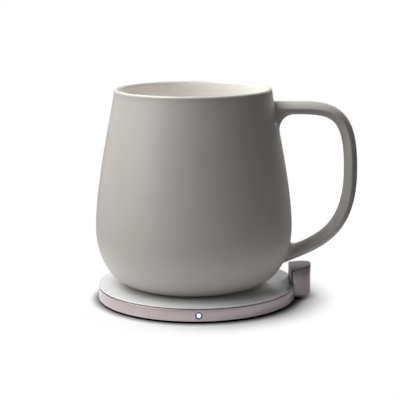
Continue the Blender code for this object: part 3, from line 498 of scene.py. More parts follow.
def mesh_piece(name: str, shape: bmesh.types.BMesh, finishes: Sequence[Material]) -> Piece:
    """Makes an object from a bmesh, which is freed.

    Args:
        name: The piece's name.
        shape: Its faces.
        finishes: Its materials, in the order of its faces' slots.

    Returns:
        The object, linked to the scene.
    """
    bmesh.ops.recalc_face_normals(shape, faces=shape.faces)
    mesh = bpy.data.meshes.new(name)
    shape.to_mesh(mesh)
    shape.free()
    for finish in finishes:
        mesh.materials.append(finish)
    smoothed(mesh)
    piece = bpy.data.objects.new(name, mesh)
    bpy.context.scene.collection.objects.link(piece)
    return piece


def curve(start: Point, start_pull: Point, end_pull: Point, end: Point, steps: int) -> list[Point]:
    """Runs a curve between two points, each end of it led by its own pull.

    Args:
        start: The first point.
        start_pull: The point that the curve sets off towards.
        end_pull: The point that it arrives from.
        end: The last point.
        steps: How many stretches the curve is cut into.

    Returns:
        The points on it, both ends among them.
    """
    knots = [Vector((*spot, 0.0)) for spot in (start, start_pull, end_pull, end)]
    return [(point.x, point.y) for point in interpolate_bezier(*knots, steps + 1)]


def arc(start: Point, corner: Point, end: Point, steps: int) -> list[Point]:
    """Runs a round from one point to another past a corner.

    Args:
        start: The first point.
        corner: The corner that is rounded off.
        end: The last point.
        steps: How many stretches the round is cut into.

    Returns:
        The points on it, both ends among them.
    """
    pulls = [
        tuple(near + (far - near) * ARC_PULL_SHARE for near, far in zip(point, corner))
        for point in (start, end)
    ]
    return curve(start, *pulls, end, steps)


def rounded(corners: Sequence[tuple[float, float, float]], steps: int = 4) -> list[Point]:
    """Rounds the corners of a closed outline.

    Args:
        corners: Each corner as two coordinates and the reach of its rounding.
        steps: How many stretches each rounding has.

    Returns:
        The points of the outline.
    """
    outline: list[Point] = []
    for place, (x, y, reach) in enumerate(corners):
        corner = Vector((x, y))
        if reach == 0:
            outline.append((x, y))
            continue
        before = Vector(corners[place - 1][:2])
        after = Vector(corners[(place + 1) % len(corners)][:2])
        start = corner + (before - corner).normalized() * reach
        end = corner + (after - corner).normalized() * reach
        outline += arc(tuple(start), (x, y), tuple(end), steps)
    return outline


def turned(
    name: str,
    profile: Sequence[Point],
    finishes: Sequence[Material],
    centre: Point = (0.0, 0.0),
    zones: Sequence[int] | None = None,
    steps: int = ROUND_STEPS,
) -> Piece:
    """Turns a closed profile round an upright axis.

    Args:
        name: The piece's name.
        profile: Radii and heights. A profile that ends on the axis isn't joined up along it.
        finishes: The piece's materials.
        centre: Where the axis stands.
        zones: The material slot of each stretch of the profile, if there is more than one.
        steps: How many steps the turn has.

    Returns:
        The piece.
    """
    shape = bmesh.new()
    angles = [math.tau * step / steps for step in range(steps)]
    rings = []
    for radius, height in profile:
        spots = [(*centre, height)]
        if radius >= ON_AXIS:
            spots = [
                (centre[0] + radius * math.cos(angle), centre[1] + radius * math.sin(angle), height)
                for angle in angles
            ]
        rings.append([shape.verts.new(spot) for spot in spots])
    spans = list(zip(rings, rings[1:]))
    if profile[0][0] > ON_AXIS:
        spans.append((rings[-1], rings[0]))
    for place, (first, second) in enumerate(spans):
        for step in range(steps):
            after = (step + 1) % steps
            corners = [
                first[step % len(first)],
                first[after % len(first)],
                second[after % len(second)],
                second[step % len(second)],
            ]
            face = shape.faces.new(tuple(dict.fromkeys(corners)))
            face.material_index = zones[place] if zones else 0
    return mesh_piece(name, shape, finishes)


def lofted(name: str, rings: Sequence[Sequence[Vector]], finishes: Sequence[Material]) -> Piece:
    """Skins a row of closed rings and caps both ends.

    Args:
        name: The piece's name.
        rings: The rings, each with the same number of points.
        finishes: The piece's materials.

    Returns:
        The piece.
    """
    shape = bmesh.new()
    made = [[shape.verts.new(point) for point in ring] for ring in rings]
    for first, second in zip(made, made[1:]):
        for step in range(len(first)):
            after = (step + 1) % len(first)
            shape.faces.new((first[step], first[after], second[after], second[step]))
    shape.faces.new(made[0])
    shape.faces.new(made[-1])
    return mesh_piece(name, shape, finishes)


def modified(piece: Piece, kind: str, **settings: object) -> None:
    """Works a modifier into a piece's mesh.

    Args:
        piece: The piece.
        kind: The modifier's type.
        settings: Properties to set on the modifier.
    """
    modifier = piece.modifiers.new(kind.lower(), kind)
    for key, value in settings.items():
        setattr(modifier, key, value)
    bpy.context.view_layer.update()
    shown = piece.evaluated_get(bpy.context.evaluated_depsgraph_get())
    mesh = bpy.data.meshes.new_from_object(shown)
    piece.modifiers.clear()
    piece.data = mesh
    smoothed(mesh)


def carved(piece: Piece, cutter: Piece) -> None:
    """Cuts one shape out of a piece and removes the shape."""
    modified(piece, "BOOLEAN", operation="DIFFERENCE", solver="EXACT", object=cutter)
    bpy.data.objects.remove(cutter, do_unlink=True)


def softened(piece: Piece, width: float, steps: int = 3) -> None:
    """Rounds a piece's sharp edges by a width."""
    limit = {"limit_method": "ANGLE", "angle_limit": SHARP_EDGE}
    modified(piece, "BEVEL", width=width, segments=steps, **limit)


def seated(piece: Piece, body: Body, slot: Slot, *nodes: str) -> None:
    """Hands a finished piece to the frame and reports it.

    Args:
        piece: The piece, in its place.
        body: The group that it moves with.
        slot: The record's slot for its finish; not used.
        nodes: The frame's nodes that it stands for.
    """
    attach(piece, body.value)
    if nodes:
        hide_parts(*nodes)
    log.info("%s: %d faces, on the %s", piece.name, len(piece.data.polygons), body.value)


def middle_height(node: str) -> float:
    """Returns the height of the middle of a node of the frame."""
    low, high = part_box(node)
    return (low.z + high.z) / 2


def half_height(node: str) -> float:
    """Returns half the height of a node of the frame."""
    low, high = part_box(node)
    return (high.z - low.z) / 2


@dataclass
class CeramicMug:
    """Ceramic body and strap handle of the mug. Heights are above the mug's own underside.

    A pull is how far a curve is led on past its end, and a reach is how far a rounding runs.

    Attributes:
        axis: Where the mug's axis stands, along X.
        bottom: The height of its underside above the table.
        height: From the underside to the top of the lip.
        belly_radius: Its widest radius.
        glaze_line_angle: Where on the lip's round the lining meets the matt glaze.
        face_power: How full the strap's section is across, where 2 is an ellipse.
        ridge_power: How full it is through, where below 2 makes a ridge along each side.
        root_sink: How far a root ends under the body's skin.
        root_halvings: How often the way to the body is halved to find where it is met.
        slope_share: Where on its rise a root is probed for the body's slope.
    """

    axis: float
    bottom: float
    height: float
    belly_radius: float
    belly_height: float = 0.02875
    rim_radius: float = 0.0393
    lip_thickness: float = 0.0024
    lip_steps: int = 6
    wall: float = 0.0036
    foot_radius: float = 0.0290
    recess_radius: float = 0.0255
    recess_top: float = 0.0050
    recess_edge: float = 0.0005
    recess_edge_share: float = 0.3
    cavity_floor: float = 0.0090
    cavity_floor_radius: float = 0.0220
    rim_pull: float = 0.0046
    shoulder_pull: float = 0.0226
    belly_pull: float = 0.0143
    foot_pull: float = 0.0136
    cavity_belly_pull: float = 0.0095
    cavity_floor_pull: float = 0.0140
    glaze_line_angle: float = math.radians(38)
    handle_top: float = 0.0883
    handle_standoff: float = 0.0296
    handle_middle: float = 0.0560
    handle_low: float = 0.0150
    handle_low_standoff: float = 0.0018
    handle_low_slope: float = math.radians(22)
    handle_top_pull: float = 0.0188
    handle_upper_pull: float = 0.0290
    handle_lower_pull: float = 0.0285
    handle_low_pull: float = 0.0156
    handle_thickness: float = 0.0065
    handle_width: float = 0.0130
    low_swell: float = 0.0022
    low_swell_reach: float = 0.0092
    face_power: float = 2.4
    ridge_power: float = 1.3
    upper_root_reach: float = 0.0092
    root_top_reach: float = 0.0010
    root_side_reach: float = 0.0009
    low_root_reach: float = 0.0014
    low_fillet_reach: float = 0.0072
    low_fillet_rise: float = 0.0056
    root_sink: float = 0.0004
    root_halvings: int = 40
    slope_share: float = 0.9
    curve_steps: int = 40
    section_steps: int = 96
    root_steps: int = 14
    straight_steps: int = 6

    @classmethod
    def from_frame(cls) -> "CeramicMug":
        """Returns the mug in its place in the frame."""
        low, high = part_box("mug_body")
        return cls(
            axis=(low.x + high.x) / 2,
            bottom=low.z,
            height=high.z - low.z,
            belly_radius=(high.y - low.y) / 2,
        )

    def lip_base(self) -> float:
        """Returns the height where the rounded lip starts."""
        return self.height - self.lip_thickness / 2

    def side(
        self, rim: float, belly: float, foot: Point, belly_pull: float, foot_pull: float
    ) -> list[Point]:
        """Runs one side of the wall from the lip past the belly to its lower end.

        Args:
            rim: Its radius at the lip.
            belly: Its widest radius.
            foot: Its lower end.
            belly_pull: How far its lower curve is led on past the belly.
            foot_pull: How far that is led on past the lower end.

        Returns:
            The side's profile.
        """
        widest = (belly, self.belly_height)
        top = (rim, self.lip_base())
        top_lead = (rim, self.lip_base() - self.rim_pull)
        shoulder_lead = (belly, self.belly_height + self.shoulder_pull)
        belly_lead = (belly, self.belly_height - belly_pull)
        foot_lead = (foot[0] + foot_pull, foot[1])
        upper = curve(top, top_lead, shoulder_lead, widest, self.curve_steps)
        return upper + curve(widest, belly_lead, foot_lead, foot, self.curve_steps)[1:]

    def outside(self) -> list[Point]:
        """Returns the outer profile from the lip down to the foot."""
        foot = (self.foot_radius, 0.0)
        return self.side(self.rim_radius, self.belly_radius, foot, self.belly_pull, self.foot_pull)

    def inside(self) -> list[Point]:
        """Runs over the cavity from its floor up to the lip.

        Returns:
            Its profile.
        """
        rim = self.rim_radius - self.lip_thickness
        belly = self.belly_radius - self.wall
        floor = (self.cavity_floor_radius, self.cavity_floor)
        return self.side(rim, belly, floor, self.cavity_belly_pull, self.cavity_floor_pull)[::-1]

    def lip(self, first: float, last: float) -> list[Point]:
        """Runs over the rounded lip between two angles.

        Args:
            first: The angle that it starts from, where 0 is outward and a right angle is up.
            last: The angle that it ends at.

        Returns:
            The points between them, both ends left out.
        """
        radius = self.lip_thickness / 2
        centre = self.rim_radius - radius
        turns = [step / self.lip_steps for step in range(1, self.lip_steps)]
        angles = [first + (last - first) * turn for turn in turns]
        return [
            (centre + radius * math.cos(angle), self.lip_base() + radius * math.sin(angle))
            for angle in angles
        ]

    def make_body(self, finishes: Sequence[Material]) -> None:
        """Makes the body: pale lining and lip, matt glaze outside and bare clay where it stands.

        Args:
            finishes: The glaze, the lining and the clay, in the order of the zones.
        """
        lined = [(0.0, self.cavity_floor), *self.inside()]
        lined += self.lip(math.pi, self.glaze_line_angle)
        glazed = self.lip(self.glaze_line_angle, 0.0) + self.outside()
        edge = self.recess_edge
        inset = edge * self.recess_edge_share
        bare = [
            (self.recess_radius + edge, 0.0),
            (self.recess_radius + inset, inset),
            (self.recess_radius, edge),
            (self.recess_radius, self.recess_top),
            (0.0, self.recess_top),
        ]
        profile = [(radius, self.bottom + height) for radius, height in lined + glazed + bare]
        zones = [Zone.LINED] * (len(lined) - 1)
        zones += [Zone.GLAZED] * len(glazed) + [Zone.BARE] * len(bare)
        body = turned("mug_body_glazed", profile, finishes, (self.axis, 0.0), zones)
        seated(body, Body.MUG, Slot.STONEWARE, "mug_body")

    def outside_radius(self, height: float) -> float:
        """Finds how wide the body is.

        Args:
            height: The height above the mug's underside.

        Returns:
            The outer radius there.
        """
        profile = self.outside()
        for (upper_radius, upper), (lower_radius, lower) in zip(profile, profile[1:]):
            if lower <= height <= upper:
                share = (upper - height) / (upper - lower)
                return upper_radius + (lower_radius - upper_radius) * share
        return self.rim_radius

    def on_body(self, point: Vector) -> Vector:
        """Returns the point on the body's outside at the height and Y of a given point."""
        radius = self.outside_radius(point.z)
        return Vector((math.sqrt(radius**2 - point.y**2), point.y, point.z))

    def low_way(self) -> Vector:
        """Returns the way that the handle leaves its lower root, as X and height."""
        return Vector((math.cos(self.handle_low_slope), math.sin(self.handle_low_slope)))

    def handle_line(self) -> list[Vector]:
        """Runs the handle's centre line from the upper root to the lower.

        Returns:
            Its points, as X and height.
        """
        reach = self.belly_radius + self.handle_standoff
        root_bottom = self.handle_top - self.handle_thickness / 2 - self.upper_root_reach
        level_end = self.outside_radius(root_bottom) + self.upper_root_reach
        middle = (reach, self.handle_middle)
        upper = curve(
            (level_end, self.handle_top),
            (level_end + self.handle_top_pull, self.handle_top),
            (reach, self.handle_middle + self.handle_upper_pull),
            middle,
            self.curve_steps,
        )
        low = Vector((self.belly_radius + self.handle_low_standoff, self.handle_low))
        lower = curve(
            middle,
            (reach, self.handle_middle - self.handle_lower_pull),
            tuple(low + self.low_way() * self.handle_low_pull),
            tuple(low),
            self.curve_steps,
        )
        keep = [point for point in lower[1:] if point[0] > low.x + self.low_root_reach * 2]
        return [Vector(point) for point in upper + keep]

    def swelling(self, centre: Vector) -> float:
        """Finds how far the loop's inner side has swelled towards the lower root.

        Args:
            centre: A point of the centre line, as X and height.

        Returns:
            What the swelling adds to half the strap's thickness there.
        """
        if centre.y > self.handle_middle:
            return 0.0
        gap = (centre.x - self.outside_radius(centre.y)) / self.low_swell_reach
        nearness = 1 - min(max(gap, 0.0), 1.0)
        return self.low_swell * (1 - math.sqrt(1 - nearness**2))

    def section(self, centre: Vector, direction: Vector) -> list[tuple[Vector, Vector]]:
        """Makes the strap's section: soft faces that meet in a ridge along each side.

        Args:
            centre: The middle of the section, as X and height.
            direction: The way that the centre line runs there.

        Returns:
            Each point of the section, with the way that it faces.
        """
        inward = Vector((direction.y, 0.0, -direction.x))
        half_width = self.handle_width / 2
        half_depth = self.handle_thickness / 2
        inner_depth = half_depth + self.swelling(centre)
        ring = []
        for step in range(self.section_steps):
            angle = math.tau * (step + 0.5) / self.section_steps
            sine = math.sin(angle)
            cosine = math.cos(angle)
            across = math.copysign(abs(sine) ** (2 / self.face_power), sine)
            depth = math.copysign(abs(cosine) ** (2 / self.ridge_power), cosine)
            depth *= inner_depth if depth > 0 else half_depth
            spot = Vector((centre.x, across * half_width, centre.y)) + inward * depth
            ring.append((spot, (inward * cosine + Vector((0.0, sine, 0.0))).normalized()))
        return ring

    def root(
        self, spot: Vector, towards: Vector, facing: Vector, reach: float, rise: float
    ) -> list[Vector]:
        """Runs one line of the strap's skin down into the body in a smooth fillet.

        Args:
            spot: The line's last point on the strap.
            towards: The way to the body.
            facing: The way that the strap's skin faces there.
            reach: The fillet's reach along the strap.
            rise: Its reach along the body.

        Returns:
            The points from the strap to just under the body's skin.
        """
        near = 0.0
        far = self.handle_standoff
        for _ in range(self.root_halvings):
            middle = (near + far) / 2
            probe = spot + towards * middle
            if math.hypot(probe.x, probe.y) > self.outside_radius(probe.z):
                near = middle
            else:
                far = middle
        hit = spot + towards * near
        start = hit - towards * min(reach, near)
        end = self.on_body(hit + facing * rise)
        short = self.on_body(hit + facing * rise * self.slope_share)
        away = (end - short).normalized()
        bend = interpolate_bezier(
            start,
            start + towards * reach * ARC_PULL_SHARE,
            end - away * rise * ARC_PULL_SHARE,
            end,
            self.root_steps,
        )
        shares = [step / self.straight_steps for step in range(1, self.straight_steps)]
        into = Vector((-end.x, -end.y, 0.0)).normalized()
        sunk = end + away * self.root_sink + into * self.root_sink
        return [*(spot.lerp(start, share) for share in shares), *bend, sunk]

    def root_rings(
        self,
        ring: list[tuple[Vector, Vector]],
        towards: Vector,
        inner: Point,
        outer_reach: float,
        side_reach: float,
    ) -> list[list[Vector]]:
        """Runs a whole section of the strap into the body.

        Args:
            ring: The section, with the way that each point faces.
            towards: The way to the body.
            inner: The fillet's reaches on the loop's inner side, along the strap and the body.
            outer_reach: Its reach on the outer side.
            side_reach: Its reach at the two ridges.

        Returns:
            The rings from the section to the body.
        """
        lines = []
        inward = ring[0][1]
        for spot, facing in ring:
            turn = facing.dot(Vector((inward.x, 0.0, inward.z)).normalized())
            reaches = [
                side_reach + (face_reach - side_reach) * turn**2
                for face_reach in (inner if turn > 0 else (outer_reach, outer_reach))
            ]
            lines.append(self.root(spot, towards, facing, *reaches))
        return [[line[place] for line in lines] for place in range(len(lines[0]))]

    def make_handle(self, glaze: Material) -> None:
        """Makes the strap handle, each root run into the body.

        Args:
            glaze: The matt outer glaze.
        """
        line = self.handle_line()
        low_direction = -self.low_way()
        sections = [
            self.section(centre, (ahead - behind).normalized())
            for behind, centre, ahead in zip([line[0], *line], line, [*line[1:], line[-1]])
        ]
        sections[0] = self.section(line[0], Vector((1.0, 0.0)))
        sections[-1] = self.section(line[-1], low_direction)
        upper_root = self.root_rings(
            sections[0],
            Vector((-1.0, 0.0, 0.0)),
            (self.upper_root_reach, self.upper_root_reach),
            self.root_top_reach,
            self.root_side_reach,
        )
        lower_root = self.root_rings(
            sections[-1],
            Vector((low_direction.x, 0.0, low_direction.y)),
            (self.low_fillet_reach, self.low_fillet_rise),
            self.low_root_reach,
            self.low_root_reach,
        )
        middle = [[spot for spot, _ in section] for section in sections]
        place = Vector((self.axis, 0.0, self.bottom))
        rings = [
            [spot + place for spot in ring]
            for ring in (*reversed(upper_root), *middle, *lower_root)
        ]
        seated(lofted("mug_handle_glazed", rings, (glaze,)), Body.MUG, Slot.STONEWARE, "mug_handle")

    def make(self) -> None:
        """Makes and glazes the mug."""
        top = self.bottom + self.lip_base()
        lip_band_heights = {
            "lip_band_start": top - self.lip_thickness / 4,
            "lip_band_end": top + self.lip_thickness / 2,
        }
        glaze = StoneGlaze(
            "matt_stone_glaze",
            GREY_GLAZE_COLOUR,
            0.42,
            drift_share=0.03,
            drift_size=0.030,
            grain_size=0.0008,
            grain_depth=0.000006,
            **lip_band_heights,
        ).make()
        lining = LiningGlaze(
            "pale_lining_glaze",
            LINING_COLOUR,
            0.4,
            drift_share=0.02,
            grain_depth=0.00003,
            coat=0.1,
            # Darker over the lip: painted shade that holds down the light the lip's top catches from
            # above.
            break_and_shade_share=-0.36,
            **lip_band_heights,
        ).make()
        clay = Finish("bare_clay_foot", (0.52, 0.47, 0.41), 0.85, grain_depth=0.00004).make()
        self.make_body((glaze, lining, clay))
        self.make_handle(glaze)


@dataclass
class Post:
    """The power post: sloping cap and inner side, near-black core as painted groove shade, wrapped
    metal shell and inlet.

    Attributes:
        inner: The distance of its flat inner side from the warmer's axis.
        reach: From the inner side to the furthest point of its half-round side.
        half_width: Half its width.
        bottom: The height of the core's underside.
        shell_bottom: The height of the shell's lower edge.
        tall: The height of its highest point.
        inlet: The low and the high corner of the inlet's box.
        tilt: How far its top slopes.
    """

    inner: float
    reach: float
    half_width: float
    bottom: float
    shell_bottom: float
    tall: float
    inlet: tuple[Vector, Vector]
    tilt: float = math.radians(9.5)
    cap_edge: float = 0.0003
    side_wall: float = 0.0004
    groove: float = 0.0004
    wall: float = 0.0008
    core_gap: float = 0.0003
    corner: float = 0.0004
    corner_steps: int = 5
    shell_corner: float = 0.0010
    shell_foot_round: float = 0.0012
    edge_round: float = 0.00012
    inlet_gap: float = 0.0003
    inlet_wall: float = 0.0003
    inlet_edge: float = 0.0001
    inlet_back: float = 0.0012
    inlet_steps: int = 24
    tongue_height: float = 0.0067
    tongue_width: float = 0.0007
    tongue_setback: float = 0.0008
    contact_count: int = 12
    contact_pitch: float = 0.0005
    contact_width: float = 0.00026
    contact_length: float = 0.0030
    contact_depth: float = 0.00004

    @classmethod
    def from_frame(cls) -> "Post":
        """Returns the post in its place in the frame."""
        low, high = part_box("post_core")
        return cls(
            inner=low.x,
            reach=high.x - low.x,
            half_width=(high.y - low.y) / 2,
            bottom=low.z,
            shell_bottom=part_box("post_shell")[0].z,
            tall=high.z,
            inlet=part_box("usb_c_receptacle"),
        )

    def top(self, x: float) -> float:
        """Returns the height of the sloping top at a distance from the axis."""
        return self.tall - (self.inner + self.reach - x) * math.tan(self.tilt)

    def arc_point(self, angle: float, offset: float = 0.0) -> Vector:
        """Finds a point on the plan of the half-round side.

        Args:
            angle: Its place on the round, from a right angle below 0 to a right angle above.
            offset: How far it is moved outward.

        Returns:
            The point, as X and Y.
        """
        sine = math.sin(angle)
        cosine = math.cos(angle)
        outward = Vector((self.half_width * cosine, self.reach * sine)).normalized()
        across = Vector((self.reach * cosine, self.half_width * sine))
        return Vector((self.inner, 0.0)) + across + outward * offset

    def arc_plan(self, offset: float = 0.0) -> list[Vector]:
        """Returns the plan of the half-round side, moved outward by an offset."""
        shares = [step / FINE_STEPS - 0.5 for step in range(FINE_STEPS + 1)]
        return [self.arc_point(math.pi * share, offset) for share in shares]

    def block(
        self,
        name: str,
        outline: Sequence[Point],
        low: Callable[[float], float],
        setback: float,
        finish: Material,
    ) -> Piece:
        """Makes an upright block whose top follows the post's slope.

        Args:
            name: The piece's name.
            outline: Its plan.
            low: Gives the height of its underside from the distance from the axis.
            setback: How far under the slope its top lies.
            finish: Its material.

        Returns:
            The block.
        """
        lower = [Vector((x, y, low(x))) for x, y in outline]
        upper = [Vector((x, y, self.top(x) - setback)) for x, y in outline]
        return lofted(name, [lower, upper], (finish,))

    def make_core(self, metal: Material, dark: Material) -> None:
        """Makes the cap, the flat inner side and the near-black core, painted shade where it shows in
        the groove.

        Args:
            metal: The finish of the cap and the inner side.
            dark: The finish of the core, whose near-black is painted shade in the groove.
        """
        half = self.half_width
        corner = self.corner
        rim = [tuple(point) for point in self.arc_plan() if point.x > self.inner + corner]
        start = arc(
            (self.inner, corner - half),
            (self.inner, -half),
            (self.inner + corner, -half),
            self.corner_steps,
        )
        finish = [(x, -y) for x, y in reversed(start)]
        plan = start + rim + finish
        cap = self.block("post_cap", plan, lambda x: self.top(x) - self.cap_edge, 0.0, metal)
        softened(cap, self.edge_round)
        seated(cap, Body.WARMER, Slot.GREY_MOULDING, "post_core")
        back = self.inner + self.side_wall
        side_plan = [point for point in start if point[0] <= back] + [(back, -half), (back, half)]
        side_plan += [point for point in finish if point[0] <= back]
        setback = self.cap_edge / 2
        side = self.block("post_inner_side", side_plan, lambda x: self.bottom, setback, metal)
        seated(side, Body.WARMER, Slot.GREY_MOULDING)
        inner_arc = self.arc_plan(-self.wall - self.core_gap)
        core_plan = [(back, inner_arc[0].y)]
        core_plan += [tuple(point) for point in inner_arc if point.x > back + ON_AXIS]
        core_plan.append((back, inner_arc[-1].y))
        # The core is near-black so that the groove round the cap reads as shade: painted shade.
        core = self.block("post_core_painted_groove_shade", core_plan, lambda x: self.bottom, setback, dark)
        carved(core, self.inlet_plug(self.inlet_gap))
        seated(core, Body.WARMER, Slot.DARK_MOULDING)

    def shell_section(self, top: float) -> list[Point]:
        """Makes the shell's section.

        Args:
            top: The height of its upper edge.

        Returns:
            Its outline, as outward offsets and heights.
        """
        return rounded((
            (0.0, self.shell_bottom, self.shell_foot_round),
            (0.0, top, self.edge_round),
            (-self.wall, top, self.edge_round),
            (-self.wall, self.shell_bottom, 0.0),
        ))

    def make_shell(self, metal: Material) -> None:
        """Makes the shell, its upper corners rounded beside the groove.

        Args:
            metal: The shell's finish.
        """
        widest = math.acos((self.side_wall + self.groove) / self.reach)
        angles = [-widest * math.cos(math.pi * step / FINE_STEPS) for step in range(FINE_STEPS + 1)]
        spots = [self.arc_point(angle) for angle in angles]
        runs = [0.0]
        for first, second in zip(spots, spots[1:]):
            runs.append(runs[-1] + (second - first).length)
        rings = []
        for angle, spot, run in zip(angles, spots, runs):
            rest = self.shell_corner - min(run, runs[-1] - run, self.shell_corner)
            drop = self.shell_corner - math.sqrt(self.shell_corner**2 - rest**2)
            top = self.top(spot.x) - self.cap_edge - self.groove - drop
            rings.append([
                Vector((*self.arc_point(angle, offset), height))
                for offset, height in self.shell_section(top)
            ])
        shell = lofted("post_metal_shell", rings, (metal,))
        carved(shell, self.inlet_plug(self.inlet_gap))
        seated(shell, Body.WARMER, Slot.ANODISED, "post_shell")

    def inlet_ring(self, x: float, grow: float) -> list[Vector]:
        """Makes the inlet's outline, round-ended, at a distance from the axis.

        Args:
            x: The distance from the warmer's axis.
            grow: How far the outline is moved outward.

        Returns:
            The outline's points.
        """
        low, high = self.inlet
        middle = middle_height("usb_c_receptacle")
        radius = (high.y - low.y) / 2
        straight = half_height("usb_c_receptacle") - radius
        ring = []
        for side in (1, -1):
            for step in range(self.inlet_steps + 1):
                angle = math.pi * step / self.inlet_steps
                across = side * (radius + grow) * math.cos(angle)
                up = side * (straight + (radius + grow) * math.sin(angle))
                ring.append(Vector((x, across, middle + up)))
        return ring

    def inlet_plug(self, grow: float) -> Piece:
        """Returns the shape that makes room for the inlet, with a gap round it."""
        ends = (self.inlet[0].x - grow, self.inlet[1].x + self.groove + CUT_OVERRUN)
        return lofted("inlet_plug", [self.inlet_ring(x, grow) for x in ends], ())

    def make_inlet(self, steel: Material, dark: Material, gold: Material) -> None:
        """Makes the power inlet: drawn metal shell, moulded tongue and its contacts.

        Args:
            steel: The shell's finish.
            dark: The tongue's finish.
            gold: The contacts' finish.
        """
        low, high = self.inlet
        edge = self.inlet_edge
        steps = (
            (low.x, 0.0),
            (high.x - edge, 0.0),
            (high.x, -edge),
            (high.x, edge - self.inlet_wall),
            (high.x - edge, -self.inlet_wall),
            (low.x + self.inlet_back, -self.inlet_wall),
        )
        shell = lofted("inlet_shell", [self.inlet_ring(x, grow) for x, grow in steps], (steel,))
        seated(shell, Body.WARMER, Slot.STEEL, "usb_c_receptacle")
        middle = middle_height("usb_c_receptacle")
        half = self.tongue_width / 2
        front = high.x - self.tongue_setback
        tongue_rings = [
            [
                Vector((x, side * half, middle + end * self.tongue_height / 2))
                for side, end in ((1, 1), (-1, 1), (-1, -1), (1, -1))
            ]
            for x in (low.x + self.inlet_back / 2, front)
        ]
        tongue = lofted("inlet_tongue", tongue_rings, (dark,))
        softened(tongue, self.edge_round)
        seated(tongue, Body.WARMER, Slot.DARK_MOULDING)
        shape = bmesh.new()
        size = Matrix.Diagonal((self.contact_length, self.contact_depth, self.contact_width, 1.0))
        contact_middle = front - self.contact_length / 2 - self.edge_round
        for side in (1, -1):
            for place in range(self.contact_count):
                height = middle + (place - (self.contact_count - 1) / 2) * self.contact_pitch
                lift = Matrix.Translation((contact_middle, side * half, height))
                bmesh.ops.create_cube(shape, size=1.0, matrix=lift @ size)
        contacts = mesh_piece("inlet_contacts", shape, (gold,))
        seated(contacts, Body.WARMER, Slot.STEEL)

    def pocket(self, clearance: float, bottom: float, top: float) -> Piece:
        """Makes the shape that makes room for the post in what surrounds it.

        Args:
            clearance: The gap left round the post.
            bottom: The height of the shape's underside.
            top: The height of its top.

        Returns:
            The shape.
        """
        corner = Vector((self.inner - clearance, self.half_width + clearance))
        plan = [Vector((corner.x, -corner.y)), *self.arc_plan(clearance), corner]
        rings = [[Vector((*point, height)) for point in plan] for height in (bottom, top)]
        return lofted("post_pocket", rings, ())

    def make(self) -> None:
        """Makes and dresses the post."""
        cap = TurnedMetal("blasted_cap", (0.40, 0.37, 0.375), 0.45, metallic=0.3).make()
        # Near-black for the inlet's tongue; on the core it is painted shade in the groove.
        dark = Finish("black_tongue_and_painted_groove_shade", (0.012, 0.012, 0.013), 0.6).make()
        steel = TurnedMetal("drawn_steel", (0.60, 0.60, 0.61), 0.28, metallic=1.0).make()
        gold = Finish("contact_gold", (0.83, 0.62, 0.25), 0.25, metallic=1.0).make()
        self.make_core(cap, dark)
        # The shell's copy of the anodised finish is darker: painted shade for the mug's shadow on the
        # post.
        self.make_shell(anodised_metal("anodised_post_painted_shade", -0.22))
        self.make_inlet(steel, dark, gold)


def anodised_metal(name: str, painted_shade: float) -> Material:
    """Makes the rose-grey anodised finish of the ring and the post's shell, whose copy is darker as
    painted shade.

    Args:
        name: The material's name.
        painted_shade: How much lighter it is made, as a share, where less than 0 makes it darker as
            painted shade.

    Returns:
        The material.
    """
    return TurnedMetal(
        name,
        shaded(ANODISED_COLOUR, painted_shade),
        0.30,
        metallic=0.85,
        drift_share=0.03,
        grain_size=0.00018,
        grain_depth=0.000006,
    ).make()


